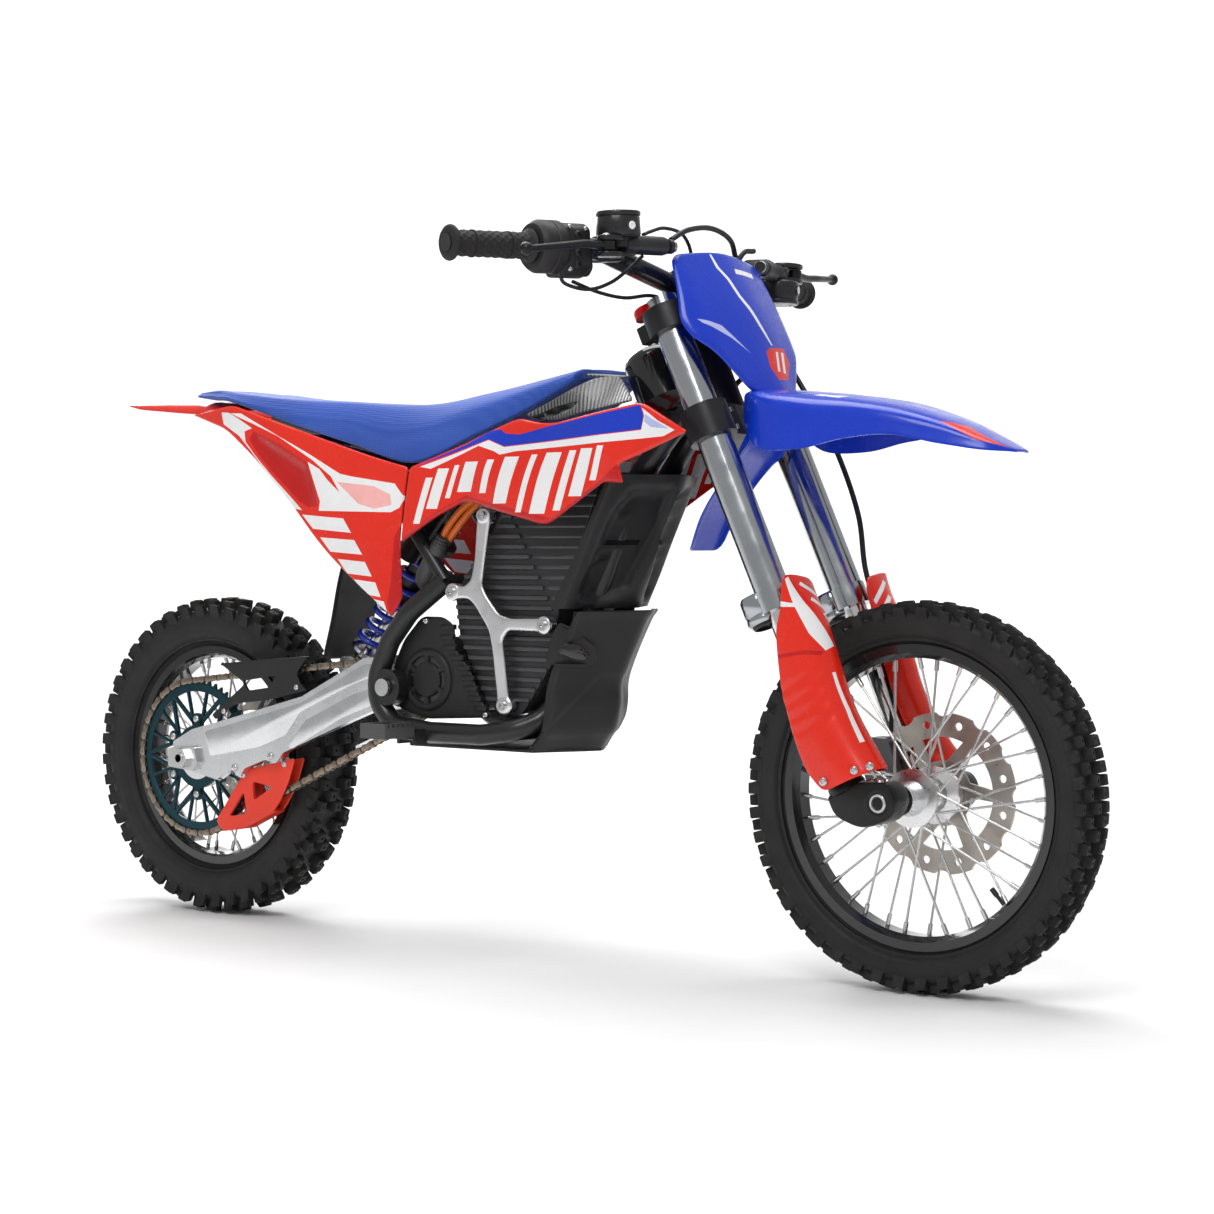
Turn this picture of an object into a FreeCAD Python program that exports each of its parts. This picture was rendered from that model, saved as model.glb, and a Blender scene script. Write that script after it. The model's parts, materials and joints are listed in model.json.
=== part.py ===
"""Electric motocross bike for young riders: 14 inch front wheel, 12 inch rear wheel.

Row frame: millimetres, +X forward, +Y to the rider's left, +Z up, origin on the ground under
the middle of the bike. Three local frames are used for modelling:
  bike frame   x measured forward from the rear axle, y and z as in the row frame
  fork frame   origin on the steering axis level with the front axle, Z up the steering axis
  wheel frames origin in the middle of an axle
"""
import FreeCAD, Part
import os
from math import acos, asin, atan2, cos, hypot, pi, radians, sin, tan
from FreeCAD import Placement, Rotation, Vector
import Sketcher

doc = FreeCAD.newDocument("motocross_bike")

# ---------------------------------------------------------------- driving dimensions
DIMENSIONS = {
    "rear_axle_x": -599.25, "rear_axle_z": 235.5,
    "front_axle_x": 593.75, "front_axle_z": 241.0,
    "rake": 24.6, "fork_lead": 43.8, "clamp_offset": 22.0,
    "front_tyre_radius": 241.0, "front_tyre_half": 33.0, "front_rim_radius": 188.0,
    "front_rim_half": 19.5, "rear_tyre_radius": 235.5, "rear_tyre_half": 42.0,
    "rear_rim_radius": 163.0, "rear_rim_half": 25.0, "spoke_radius": 1.6,
    "front_axle_radius": 10.0, "front_axle_bore": 7.5, "rear_axle_radius": 9.0,
    "rear_axle_bore": 6.0, "axle_gap": 0.05,
    "fork_half": 87.0, "outer_tube_radius": 22.5, "inner_tube_radius": 17.5, "slide_gap": 0.06,
    "outer_tube_bottom": 270.0, "outer_tube_top": 692.0, "inner_tube_bottom": 34.0,
    "inner_tube_top": 420.0, "stem_radius": 13.0, "head_tube_radius": 27.0,
    "bar_radius": 13.5, "grip_bar_radius": 11.0,
    "front_disc_radius": 101.0, "front_disc_y": 50.6, "rear_disc_radius": 90.0,
    "rear_disc_y": 57.0, "disc_thickness": 4.0,
    "chain_y": 60.0, "chain_pitch": 12.7, "rear_teeth": 56, "front_teeth": 15,
    "drive_x": 495.0, "drive_z": 372.0, "drive_shaft_radius": 9.0,
    "pivot_x": 421.0, "pivot_z": 355.0, "pivot_radius": 8.0, "pivot_tube_radius": 20.0,
    "arm_inner": 70.0, "arm_thickness": 14.0, "frame_tube_radius": 14.0, "frame_half": 106.0,
    "shock_low_x": 266.0, "shock_low_z": 376.0, "shock_top_x": 486.0, "shock_top_z": 640.0,
    "shock_pin_radius": 5.0, "shock_open_gap": 1.4, "shock_rod_radius": 7.0,
    "spring_radius": 27.0, "spring_wire": 4.5, "panel_thickness": 3.0,
}
sheet = doc.addObject("Spreadsheet::Sheet", "Dims")
for row, (alias, number) in enumerate(DIMENSIONS.items(), start=1):
    sheet.set(f"A{row}", alias)
    sheet.set(f"B{row}", str(number))
    sheet.setAlias(f"B{row}", alias)
doc.recompute()

NODES = {}


def dim(alias):
    """Value of a named cell."""
    return float(sheet.get(alias))


def keep(name, feature):
    """Register a finished sub-part under its node name."""
    feature.Label = name
    NODES[name] = feature
    return feature


# ---------------------------------------------------------------- frames
FORK_ORIGIN_X = "Dims.front_axle_x - cos(Dims.rake) * (Dims.fork_lead + Dims.clamp_offset)"
FORK_ORIGIN_Z = "Dims.front_axle_z - sin(Dims.rake) * (Dims.fork_lead + Dims.clamp_offset)"
FRAMES = {
    "bike": ("Dims.rear_axle_x", "0", "0"),
    "rear_wheel": ("Dims.rear_axle_x", "0", "Dims.rear_axle_z"),
    "front_wheel": ("Dims.front_axle_x", "0", "Dims.front_axle_z"),
    "drive": ("Dims.rear_axle_x + Dims.drive_x", "0", "Dims.drive_z"),
    "fork": (FORK_ORIGIN_X, "0", FORK_ORIGIN_Z),
}
RAKE = radians(dim("rake"))
LEAD = dim("fork_lead") + dim("clamp_offset")
FORK_X = dim("front_axle_x") - cos(RAKE) * LEAD
FORK_Z = dim("front_axle_z") - sin(RAKE) * LEAD


def place(feature, frame, spin=0.0):
    """Bind a body's place to the sheet; spin turns it about its own Y axis, in degrees."""
    for axis, text in zip("xyz", FRAMES[frame]):
        feature.setExpression(f"Placement.Base.{axis}", text)
    if frame == "fork":
        feature.Placement.Rotation = Rotation(Vector(0, -1, 0), dim("rake"))
        feature.setExpression("Placement.Rotation.Angle", "Dims.rake")
    elif spin:
        feature.Placement.Rotation = Rotation(Vector(0, 1, 0), spin)


def fork_point(ahead, left, up):
    """A point of the fork frame, given in the bike frame."""
    x = FORK_X - dim("rear_axle_x") + ahead * cos(RAKE) - up * sin(RAKE)
    return Vector(x, left, FORK_Z + ahead * sin(RAKE) + up * cos(RAKE))


# ---------------------------------------------------------------- PartDesign helpers
def body(label, frame, spin=0.0):
    made = doc.addObject("PartDesign::Body", label)
    place(made, frame, spin)
    return made


def sketch(owner, role, offset=0.0):
    """A sketch on one of the body's own planes; XZ looks along +Y, so its pads grow to -Y."""
    made = owner.newObject("Sketcher::SketchObject", "Sketch")
    plane = [p for p in owner.Origin.OriginFeatures if p.Role == role + "_Plane"][0]
    made.AttachmentSupport = [(plane, "")]
    made.MapMode = "FlatFace"
    made.AttachmentOffset = Placement(Vector(0, 0, offset), Rotation())
    return made


def circle(sk, x, y, radius):
    """A circle; radius is a number or the alias of a cell that drives it."""
    size = dim(radius) if isinstance(radius, str) else radius
    index = sk.addGeometry(Part.Circle(Vector(x, y, 0), Vector(0, 0, 1), size))
    if isinstance(radius, str):
        rule = sk.addConstraint(Sketcher.Constraint("Radius", index, size))
        sk.setExpression(f"Constraints[{rule}]", f"Dims.{radius}")


def outline(sk, points, corner=0.0):
    """A closed outline of straight edges whose corners are rounded to one radius."""
    flat = [Vector(p[0], p[1], 0) for p in points]
    starts, ends = [], []
    for here, before, after in zip(flat, flat[-1:] + flat[:-1], flat[1:] + flat[:1]):
        back, ahead = (before - here), (after - here)
        turn = back.getAngle(ahead)
        reach = min(corner / tan(turn / 2), 0.45 * back.Length, 0.45 * ahead.Length)
        back.normalize()
        ahead.normalize()
        starts.append(here + back * reach)
        ends.append(here + ahead * reach)
    for index, here in enumerate(flat):
        following = (index + 1) % len(flat)
        if corner:
            chord = (starts[index] + ends[index]) / 2 - here
            reach = (starts[index] - here).Length
            half = starts[index].sub(here).getAngle(ends[index].sub(here)) / 2
            depth = reach / cos(half) - reach * tan(half)
            middle = here + chord.normalize() * depth
            sk.addGeometry(Part.Arc(starts[index], middle, ends[index]))
        sk.addGeometry(Part.LineSegment(ends[index], starts[following]))


def pad(owner, sk, length, midplane=False):
    """Pad a sketch; length is a number or an expression in cells."""
    made = owner.newObject("PartDesign::Pad", "Pad")
    made.Profile = sk
    made.Midplane = midplane
    set_length(made, length)
    owner.Tip = made
    return made


def pocket(owner, sk, length=None, midplane=False):
    """Pocket a sketch; without a length it goes right through, both ways."""
    made = owner.newObject("PartDesign::Pocket", "Pocket")
    made.Profile = sk
    if length is None:
        made.Midplane = True
        made.Length = 3000.0
    else:
        made.Midplane = midplane
        set_length(made, length)
    owner.Tip = made
    return made


def set_length(feature, length):
    if isinstance(length, str):
        feature.setExpression("Length", length)
    else:
        feature.Length = length


def revolve(owner, sk, axis="H_Axis"):
    """Full turn about the sketch's own axis."""
    made = owner.newObject("PartDesign::Revolution", "Revolution")
    made.Profile = sk
    made.ReferenceAxis = (sk, [axis])
    made.Angle = 360.0
    owner.Tip = made
    return made


def polar(owner, feature, count):
    """Repeat a feature about the body's Y axis."""
    made = owner.newObject("PartDesign::PolarPattern", "PolarPattern")
    made.Originals = [feature]
    axis = [a for a in owner.Origin.OriginFeatures if a.Role == "Y_Axis"][0]
    made.Axis = (axis, [""])
    made.Angle = 360.0
    made.Occurrences = count
    owner.Tip = made
    return made


def side_plate(label, points, start, length, corner=0.0, holes=()):
    """A flat plate in the bike frame, from start to start + length right of the middle plane."""
    made = body(label, "bike")
    sk = sketch(made, "XZ", start)
    outline(sk, points, corner)
    for x, z, radius in holes:
        circle(sk, x, z, radius)
    pad(made, sk, length)
    return made


def mirror(label, source):
    """Left-hand twin of a right-hand piece."""
    made = doc.addObject("Part::Mirroring", label)
    made.Source = source
    made.Normal = Vector(0, 1, 0)
    made.Base = Vector(0, 0, 0)
    return made


def group(label, features):
    """Separate solids that share one node."""
    made = doc.addObject("Part::Compound", label)
    made.Links = features
    return made


def solid_feature(label, shape, frame="bike"):
    """A shape made with Part's own functions, placed in one of the frames."""
    made = doc.addObject("Part::Feature", label)
    made.Shape = shape
    place(made, frame)
    return made


# ---------------------------------------------------------------- Part shape helpers
def bent_wire(points, bend=None):
    """Straight runs joined by tangent arcs.

    Without a bend radius each arc is as large as its two runs allow.
    """
    edges = []
    cursor = points[0]
    for before, here, after in zip(points, points[1:], points[2:]):
        back, ahead = before - here, after - here
        turn = pi - back.getAngle(ahead)
        shorter = min(back.Length, ahead.Length)
        radius = bend or 0.45 * shorter / tan(turn / 2)
        reach = min(radius * tan(turn / 2), 0.45 * shorter)
        radius = reach / tan(turn / 2)
        back.normalize()
        ahead.normalize()
        enter, leave = here + back * reach, here + ahead * reach
        inward = (back + ahead).normalize()
        middle = here + inward * (radius / cos(turn / 2) - radius)
        edges.append(Part.LineSegment(cursor, enter).toShape())
        edges.append(Part.Arc(enter, middle, leave).toShape())
        cursor = leave
    edges.append(Part.LineSegment(cursor, points[-1]).toShape())
    return Part.Wire(edges)


def tube(points, radius, bend=None):
    """A round bar along a bent wire."""
    path = bent_wire(points, bend)
    ring = Part.Circle(points[0], points[1] - points[0], radius)
    solid = path.makePipeShell([Part.Wire(ring.toShape())], True, False)
    expected = pi * radius ** 2 * path.Length
    assert abs(solid.Volume / expected - 1) < 0.02, "a swept tube has the wrong volume"
    return solid


def rod(start, end, radius):
    return Part.makeCylinder(radius, (end - start).Length, start, end - start)


def flip(point):
    return Vector(point.x, -point.y, point.z)


def flipped(shape):
    return shape.mirror(Vector(0, 0, 0), Vector(0, 1, 0))


def both(shape):
    return Part.makeCompound([shape, flipped(shape)])


def triangle(a, b, c):
    return Part.Face(Part.makePolygon([a, b, c, a]))


def skin(sections):
    """A closed solid through loops of points that have the same number of points."""
    faces = []
    for first, second in zip(sections, sections[1:]):
        count = len(first)
        for i in range(count):
            j = (i + 1) % count
            faces.append(triangle(first[i], first[j], second[j]))
            faces.append(triangle(first[i], second[j], second[i]))
    for end in (sections[0], sections[-1]):
        faces.append(Part.Face(Part.makePolygon(end + [end[0]])))
    return sewn(faces)


def sewn(faces):
    shell = Part.makeShell(faces)
    shell.sewShape()
    solid = Part.makeSolid(shell)
    if solid.Volume < 0:
        solid.reverse()
    return solid


def thick_panel(points, triangles, inward):
    """A folded sheet: flat triangles, a second layer shifted inward, and walls at its rim."""
    outer = {name: Vector(*p) for name, p in points.items()}
    inner = {name: p + inward for name, p in outer.items()}
    faces, edges = [], []
    for a, b, c in triangles:
        faces.append(triangle(outer[a], outer[b], outer[c]))
        faces.append(triangle(inner[a], inner[b], inner[c]))
        edges += [(a, b), (b, c), (c, a)]
    for a, b in edges:
        alone = sum(1 for e in edges if e in ((a, b), (b, a))) == 1
        if alone:
            faces.append(triangle(outer[a], outer[b], inner[b]))
            faces.append(triangle(outer[a], inner[b], inner[a]))
    return sewn(faces)


def level_loop(x, points):
    """A closed loop across the bike at one station: the right half is given as (y, z)."""
    right = [Vector(x, -y, z) for y, z in points]
    left = [flip(p) for p in reversed(right) if p.y != 0]
    return right + left


# ---------------------------------------------------------------- wheels
def ring_body(label, frame, arcs, lines=()):
    """Revolved ring: a closed profile of three-point arcs and lines, as (y, radius) points."""
    made = body(label, frame)
    sk = sketch(made, "YZ")
    for a, b, c in arcs:
        sk.addGeometry(Part.Arc(Vector(*a, 0), Vector(*b, 0), Vector(*c, 0)))
    for a, b in lines:
        sk.addGeometry(Part.LineSegment(Vector(*a, 0), Vector(*b, 0)))
    revolve(made, sk)
    return made


def both_sides(edges):
    """A profile's edges on +y and their twins on -y."""
    return list(edges) + [tuple((-y, r) for y, r in edge) for edge in edges]


def make_tyre(end):
    """Open carcass: the beads sit inside the rim's flanges, the crown is the full radius."""
    crown, half = dim(f"{end}_tyre_radius"), dim(f"{end}_tyre_half")
    flange, rim_half = dim(f"{end}_rim_radius"), dim(f"{end}_rim_half")
    bead = rim_half - 3.3
    wall = 8.0
    shoulder = (half * 0.94, crown - 14)
    inner_shoulder = (half * 0.94 - wall, crown - 20)
    waist = (crown + flange) / 2 - 4
    arcs = both_sides([
        ((bead, flange + 0.6), (half, waist), shoulder),
        ((bead - 5, flange + 0.6), (half - wall, waist), inner_shoulder)])
    arcs.append((shoulder, (0, crown), (-shoulder[0], shoulder[1])))
    arcs.append((inner_shoulder, (0, crown - 13), (-inner_shoulder[0], inner_shoulder[1])))
    lines = both_sides([
        ((bead, flange + 0.6), (bead, flange - 9)),
        ((bead, flange - 9), (bead - 5, flange - 9)),
        ((bead - 5, flange - 9), (bead - 5, flange + 0.6))])
    keep(f"{end}_tyre", ring_body(f"{end}_tyre", f"{end}_wheel", arcs, lines))


def make_rim(end):
    """Drop-centre rim with two upright flanges."""
    flange, half = dim(f"{end}_rim_radius"), dim(f"{end}_rim_half")
    floor = flange - 17.5
    well = 0.5 * half
    half_profile = [
        (half, flange), (half - 3, flange), (half - 3, flange - 10), (half - 7, flange - 11),
        (well, floor + 3)]
    under = [(half, flange - 11), (half - 4, flange - 14), (well + 1, floor)]
    profile = half_profile + [(-y, r) for y, r in reversed(half_profile)]
    profile += [(-y, r) for y, r in under] + list(reversed(under))
    made = body(f"{end}_rim", f"{end}_wheel")
    sk = sketch(made, "YZ")
    outline(sk, profile)
    revolve(made, sk)
    keep(f"{end}_rim", made)


def make_spokes(end, count, hub_radius, hub_half):
    """Crossed spokes, half of them to each hub flange, ending in nipples under the rim."""
    floor = dim(f"{end}_rim_radius") - 17.7
    radius = dim("spoke_radius")
    spokes = []
    for i in range(count):
        side = 1 if i % 2 else -1
        lean = radians(38 if (i // 2) % 2 else -38)
        rim_angle = 2 * pi * (i + 0.25) / count
        hub_angle = rim_angle + lean
        hub = Vector(hub_radius * cos(hub_angle), side * hub_half, hub_radius * sin(hub_angle))
        rim = Vector(floor * cos(rim_angle), side * 4.0, floor * sin(rim_angle))
        nipple_start = rim + (hub - rim).normalize() * 14.0
        spokes.append(rod(hub, rim, radius).fuse(rod(nipple_start, rim, radius + 1.4)))
    keep(f"{end}_spokes", solid_feature(f"{end}_spokes", Part.makeCompound(spokes),
                                        f"{end}_wheel"))


def make_hub(end, half_profile_right, half_profile_left, bore):
    """Turned hub: outside steps as (y, radius) from the middle out, round a plain bore."""
    made = body(f"{end}_hub", f"{end}_wheel")
    right = [(-y, r) for y, r in half_profile_right]
    left = list(half_profile_left)
    profile = list(reversed(right)) + left
    profile += [(left[-1][0], bore), (right[-1][0], bore)]
    sk = sketch(made, "YZ")
    outline(sk, profile)
    revolve(made, sk)
    keep(f"{end}_hub", made)


def make_disc(end, waves, centre):
    """Brake disc with a scalloped rim, cooling holes and a spider of arms."""
    radius, y = dim(f"{end}_disc_radius"), dim(f"{end}_disc_y")
    thickness = dim("disc_thickness")
    made = body(f"{end}_brake_disc", f"{end}_wheel")
    ring = sketch(made, "XZ", -y - thickness / 2)
    circle(ring, 0, 0, f"{end}_disc_radius")
    circle(ring, 0, 0, radius * 0.7)
    pad(made, ring, "Dims.disc_thickness")
    arm = sketch(made, "XZ", -y - thickness / 2)
    outline(arm, [(radius * 0.72, -7), (radius * 0.72, 7), (centre + 2, 16), (centre + 2, -2)])
    polar(made, pad(made, arm, "Dims.disc_thickness"), 6)
    carrier = sketch(made, "XZ", -y - thickness / 2)
    circle(carrier, 0, 0, centre + 10)
    circle(carrier, 0, 0, centre)
    pad(made, carrier, "Dims.disc_thickness")
    scallop = sketch(made, "XZ")
    circle(scallop, radius + 10, 0, 15.0)
    polar(made, pocket(made, scallop), waves)
    hole = sketch(made, "XZ")
    angle = pi / waves
    circle(hole, radius * 0.86 * cos(angle), radius * 0.86 * sin(angle), 5.0)
    polar(made, pocket(made, hole), waves)
    keep(f"{end}_brake_disc", made)


def sprocket_outline(sk, teeth, turn=0.0):
    """Roller seats on the pitch circle with short straight tooth tips between them."""
    pitch = dim("chain_pitch")
    pitch_radius = pitch / (2 * sin(pi / teeth))
    seat, tip_radius = 4.3, pitch_radius + 1.6
    step = 2 * pi / teeth
    reach = acos((pitch_radius ** 2 + tip_radius ** 2 - seat ** 2)
                 / (2 * pitch_radius * tip_radius))

    def at(radius, angle):
        return Vector(radius * cos(angle), radius * sin(angle), 0)

    for tooth in range(teeth):
        centre = turn + tooth * step
        start, end = at(tip_radius, centre - reach), at(tip_radius, centre + reach)
        sk.addGeometry(Part.Arc(start, at(pitch_radius - seat, centre), end))
        sk.addGeometry(Part.LineSegment(end, at(tip_radius, centre + step - reach)))


def make_rear_sprocket():
    thickness = 5.0
    made = body("rear_sprocket", "rear_wheel")
    plate = sketch(made, "XZ", dim("chain_y") - thickness / 2)
    sprocket_outline(plate, int(dim("rear_teeth")))
    circle(plate, 0, 0, 34.0)
    pad(made, plate, thickness)
    windows = 7
    for side in (-1, 1):
        window = sketch(made, "XZ")
        outline(window, [(101, side * 3), (96, side * 34), (57, side * 5)], 4.0)
        polar(made, pocket(made, window), windows)
    inner = sketch(made, "XZ")
    angle = pi / windows
    corners = [(62, angle - 0.24), (62, angle + 0.24), (82, angle)]
    outline(inner, [(r * cos(a), r * sin(a)) for r, a in corners], 3.0)
    polar(made, pocket(made, inner), windows)
    keep("rear_sprocket", made)


def make_wheels():
    for end in ("front", "rear"):
        make_tyre(end)
        make_rim(end)
    front_bore = dim("front_axle_radius") + dim("axle_gap")
    rear_bore = dim("rear_axle_radius") + dim("axle_gap")
    make_spokes("front", 36, 31.0, 27.0)
    make_spokes("rear", 36, 34.0, 27.0)
    make_hub("front", [(4, 21), (20, 23), (25, 36), (29, 36), (31, 22), (58, 19)],
             [(4, 21), (20, 23), (25, 36), (29, 36), (31, 27), (48.6, 30), (48.6, 19), (58, 19)],
             front_bore)
    make_hub("rear", [(4, 24), (20, 26), (25, 39), (29, 39), (31, 27), (46, 30), (47, 47),
                      (57.4, 47), (57.4, 33.5), (63, 33.5), (63, 22), (68, 22)],
             [(4, 24), (20, 26), (25, 39), (29, 39), (31, 26), (55, 28), (55, 20), (68, 20)],
             rear_bore)
    make_disc("front", 12, 30.5)
    make_disc("rear", 12, 28.5)
    make_rear_sprocket()


# ---------------------------------------------------------------- axles
def hollow_bar(label, frame, reach, radius, bore):
    """A hollow shaft across the bike, as long on both sides of the middle plane."""
    made = body(label, frame)
    sk = sketch(made, "XZ")
    circle(sk, 0, 0, radius)
    circle(sk, 0, 0, bore)
    pad(made, sk, 2 * reach, midplane=True)
    return made


def make_axles():
    keep("front_axle", hollow_bar("front_axle", "front_wheel", 108.0, "front_axle_radius",
                                  "front_axle_bore"))
    axle = hollow_bar("rear_axle", "rear_wheel", 101.0, "rear_axle_radius", "rear_axle_bore")
    for start in (92.0, -100.0):
        nut = sketch(axle, "XZ", start)
        outline(nut, [(16 * cos(i * pi / 3), 16 * sin(i * pi / 3)) for i in range(6)])
        circle(nut, 0, 0, "rear_axle_bore")
        pad(axle, nut, 8.0)
    block = body("axle_block_right", "rear_wheel")
    sk = sketch(block, "XZ", dim("arm_inner") + dim("arm_thickness"))
    outline(sk, [(-30, 14), (-30, -14), (22, -18), (30, -6), (24, 18)], 4.0)
    circle(sk, 0, 0, "rear_axle_radius")
    pad(block, sk, 8.0)
    keep("rear_axle", group("rear_axle", [axle, block, mirror("axle_block_left", block)]))


# ---------------------------------------------------------------- fork and steering
def fork_pad(label, outline_points, low, high, corner=0.0, circles=(), holes=()):
    """Plate across the steering axis between two heights of the fork frame."""
    made = body(label, "fork")
    sk = sketch(made, "XY", low)
    outline(sk, outline_points, corner)
    pad(made, sk, high - low)
    for x, y, radius in circles:
        boss = sketch(made, "XY", low)
        circle(boss, x, y, radius)
        pad(made, boss, high - low)
    if holes:
        cut = sketch(made, "XY")
        for x, y, radius in holes:
            circle(cut, x, y, radius)
        made.Tip = pocket(made, cut)
    return made


def make_clamps():
    """Two clamps joined by the stem; the stem belongs to the lower one."""
    off, half = dim("clamp_offset"), dim("fork_half")
    web = [(-24, -20), (-2, -84), (42, -84), (40, -40), (34, 0), (40, 40), (42, 84), (-2, 84),
           (-24, 20)]
    rings = [(off, side * half, 31.0) for side in (-1, 1)]
    tube_holes = [(off, side * half, "outer_tube_radius") for side in (-1, 1)]
    upper = fork_pad("upper_clamp", web, 655.0, 688.0, 8.0, rings + [(0, 0, 27.0)],
                     tube_holes + [(0, 0, "stem_radius")])
    for side in (-1, 1):
        lug = sketch(upper, "XY", 660.0)
        outline(lug, [(off - 46, side * half - 9), (off - 24, side * half - 9),
                      (off - 24, side * half + 9), (off - 46, side * half + 9)], 3.0)
        pad(upper, lug, 22.0)
    keep("upper_clamp", group("upper_clamp", [upper] + make_bar_clamp()))
    lower = fork_pad("lower_clamp", web, 505.0, 548.0, 8.0, rings + [(0, 0, 27.0)], tube_holes)
    stem = sketch(lower, "XY", 505.0)
    circle(stem, 0, 0, "stem_radius")
    pad(lower, stem, 195.0)
    keep("lower_clamp", lower)


def make_fork_legs():
    off, half = dim("clamp_offset"), dim("fork_half")
    bore = dim("inner_tube_radius") + dim("slide_gap")
    legs = {"fork_outer_tubes": [], "fork_inner_tubes": []}
    for side, word in ((-1, "right"), (1, "left")):
        low, high = dim("outer_tube_bottom"), dim("outer_tube_top")
        outer = body(f"outer_tube_{word}", "fork")
        sk = sketch(outer, "XY", low)
        circle(sk, off, side * half, "outer_tube_radius")
        circle(sk, off, side * half, bore)
        pad(outer, sk, high - low)
        collar = sketch(outer, "XY", low)
        circle(collar, off, side * half, 25.0)
        circle(collar, off, side * half, bore)
        pad(outer, collar, 28.0)
        legs["fork_outer_tubes"].append(outer)
        cap = body(f"cap_{word}", "fork")
        sk = sketch(cap, "XY", high)
        circle(sk, off, side * half, 20.5)
        pad(cap, sk, 10.0)
        plug = sketch(cap, "XY", high - 18)
        circle(plug, off, side * half, bore - 0.2)
        pad(cap, plug, 18.0)
        legs["fork_outer_tubes"].append(cap)
        inner = body(f"inner_tube_{word}", "fork")
        sk = sketch(inner, "XY", dim("inner_tube_bottom"))
        circle(sk, off, side * half, "inner_tube_radius")
        circle(sk, off, side * half, 15.0)
        pad(inner, sk, "Dims.inner_tube_top - Dims.inner_tube_bottom")
        legs["fork_inner_tubes"].append(inner)
    for name, pair in legs.items():
        keep(name, group(name, pair))


def make_fork_feet():
    """Axle clamps that carry the axle ahead of the tubes."""
    off, half = dim("clamp_offset"), dim("fork_half")
    top = dim("inner_tube_bottom")
    foot = body("fork_foot_right", "fork")
    sk = sketch(foot, "XZ", half - 20.0)
    outline(sk, [(off - 21, top), (off - 21, top - 28), (off + 14, -22), (LEAD + 6, -24),
                 (LEAD + 24, -6), (LEAD + 22, 18), (off + 30, top)], 9.0)
    circle(sk, LEAD, 0, "front_axle_radius")
    pad(foot, sk, 41.0)
    keep("fork_feet", group("fork_feet", [foot, mirror("fork_foot_left", foot)]))


def make_fork_guards():
    """Shells round the front and outside of the legs; they travel with the inner tubes."""
    half, wall = dim("fork_half"), dim("panel_thickness")
    stations = [(38, 6, 84), (75, -6, 77), (111, -9, 72), (145, -8, 71), (177, -6, 74),
                (236, 11, 78), (265, 35, 74), (297, 58, 70)]

    def loop(up, rear, front):
        span = front - rear
        outer = [(rear, 34), (rear + 0.5 * span, 37), (front - 0.16 * span, 28), (front, 4),
                 (front - 0.16 * span, -20), (front - 0.35 * span, -25)]
        inner = [(rear, 34 - wall), (rear + 0.5 * span, 37 - wall),
                 (front - 0.16 * span - 0.7 * wall, 28 - wall), (front - wall, 4),
                 (front - 0.16 * span - 0.7 * wall, -20 + wall),
                 (front - 0.35 * span, -25 + wall)]
        return [Vector(e, -half - y, up) for e, y in outer + inner[::-1]]

    guard = skin([loop(*station) for station in stations])
    keep("fork_guards", solid_feature("fork_guards", both(guard), "fork"))


def make_front_caliper():
    """Caliper straddling the front disc behind the left leg."""
    y = dim("front_disc_y")
    made = body("front_caliper", "fork")
    sk = sketch(made, "XZ", -y - 15.0)
    outline(sk, [(-22, 40), (4, 22), (26, 46), (30, 88), (4, 102), (-18, 84)], 7.0)
    pad(made, sk, 32.0)
    slot = sketch(made, "XZ", -y)
    circle(slot, LEAD, 0, dim("front_disc_radius") + 3.0)
    pocket(made, slot, 7.0, midplane=True)
    keep("front_caliper", made)


BAR = [(852, 0, 884.5), (852, 58, 884.5), (832, 185, 918), (766, 398, 911)]


def bar_side(left):
    """Points of one half of the handlebar."""
    return [Vector(x, y if left else -y, z) for x, y, z in BAR]


def grip_frame(left):
    """Place whose Z axis runs outward along the straight end of the bar, X is forward."""
    points = bar_side(left)
    along = (points[3] - points[2]).normalize()
    ahead = Vector(1, 0, 0)
    ahead = (ahead - along * ahead.dot(along)).normalize()
    up = along.cross(ahead)
    turn = Rotation(ahead, up, along, "ZXY")
    return Placement(points[2], turn)


def on_grip(shape, left):
    """Move a shape from the grip frame to the bike frame."""
    return shape.transformed(grip_frame(left).toMatrix(), True)


def make_handlebar():
    """Thick middle with two bends each side, and thinner straight ends for the grips."""
    right = bar_side(False)
    knee = right[2] + (right[3] - right[2]).normalize() * 22.0
    half = [knee, right[2], right[1]]
    middle = tube(half + [flip(p) for p in reversed(half)], dim("bar_radius"), 60.0)
    end = rod(knee + (knee - right[3]).normalize(), right[3], dim("grip_bar_radius"))
    bar = middle.multiFuse([end, flipped(end)]).removeSplitter()
    keep("handlebar", solid_feature("handlebar", bar))


def make_bar_clamp():
    """Right and left blocks that hold the bar on the upper clamp."""
    block = body("bar_clamp_right", "fork")
    sk = sketch(block, "XZ", 24.0)
    centre = (BAR[0][0] + dim("rear_axle_x") - FORK_X, BAR[0][2] - FORK_Z)
    ahead = centre[0] * cos(RAKE) + centre[1] * sin(RAKE)
    up = -centre[0] * sin(RAKE) + centre[1] * cos(RAKE)
    outline(sk, [(ahead - 19, 688), (ahead + 19, 688), (ahead + 20, up + 16),
                 (ahead - 20, up + 16)], 5.0)
    circle(sk, ahead, up, "bar_radius")
    pad(block, sk, 24.0)
    return [block, mirror("bar_clamp_left", block)]


def lathe(profile):
    """Solid of revolution about Z from (radius, height) points."""
    wire = Part.makePolygon([Vector(r, 0, h) for r, h in profile + profile[:1]])
    return Part.Face(wire).revolve(Vector(0, 0, 0), Vector(0, 0, 1), 360)


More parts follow.
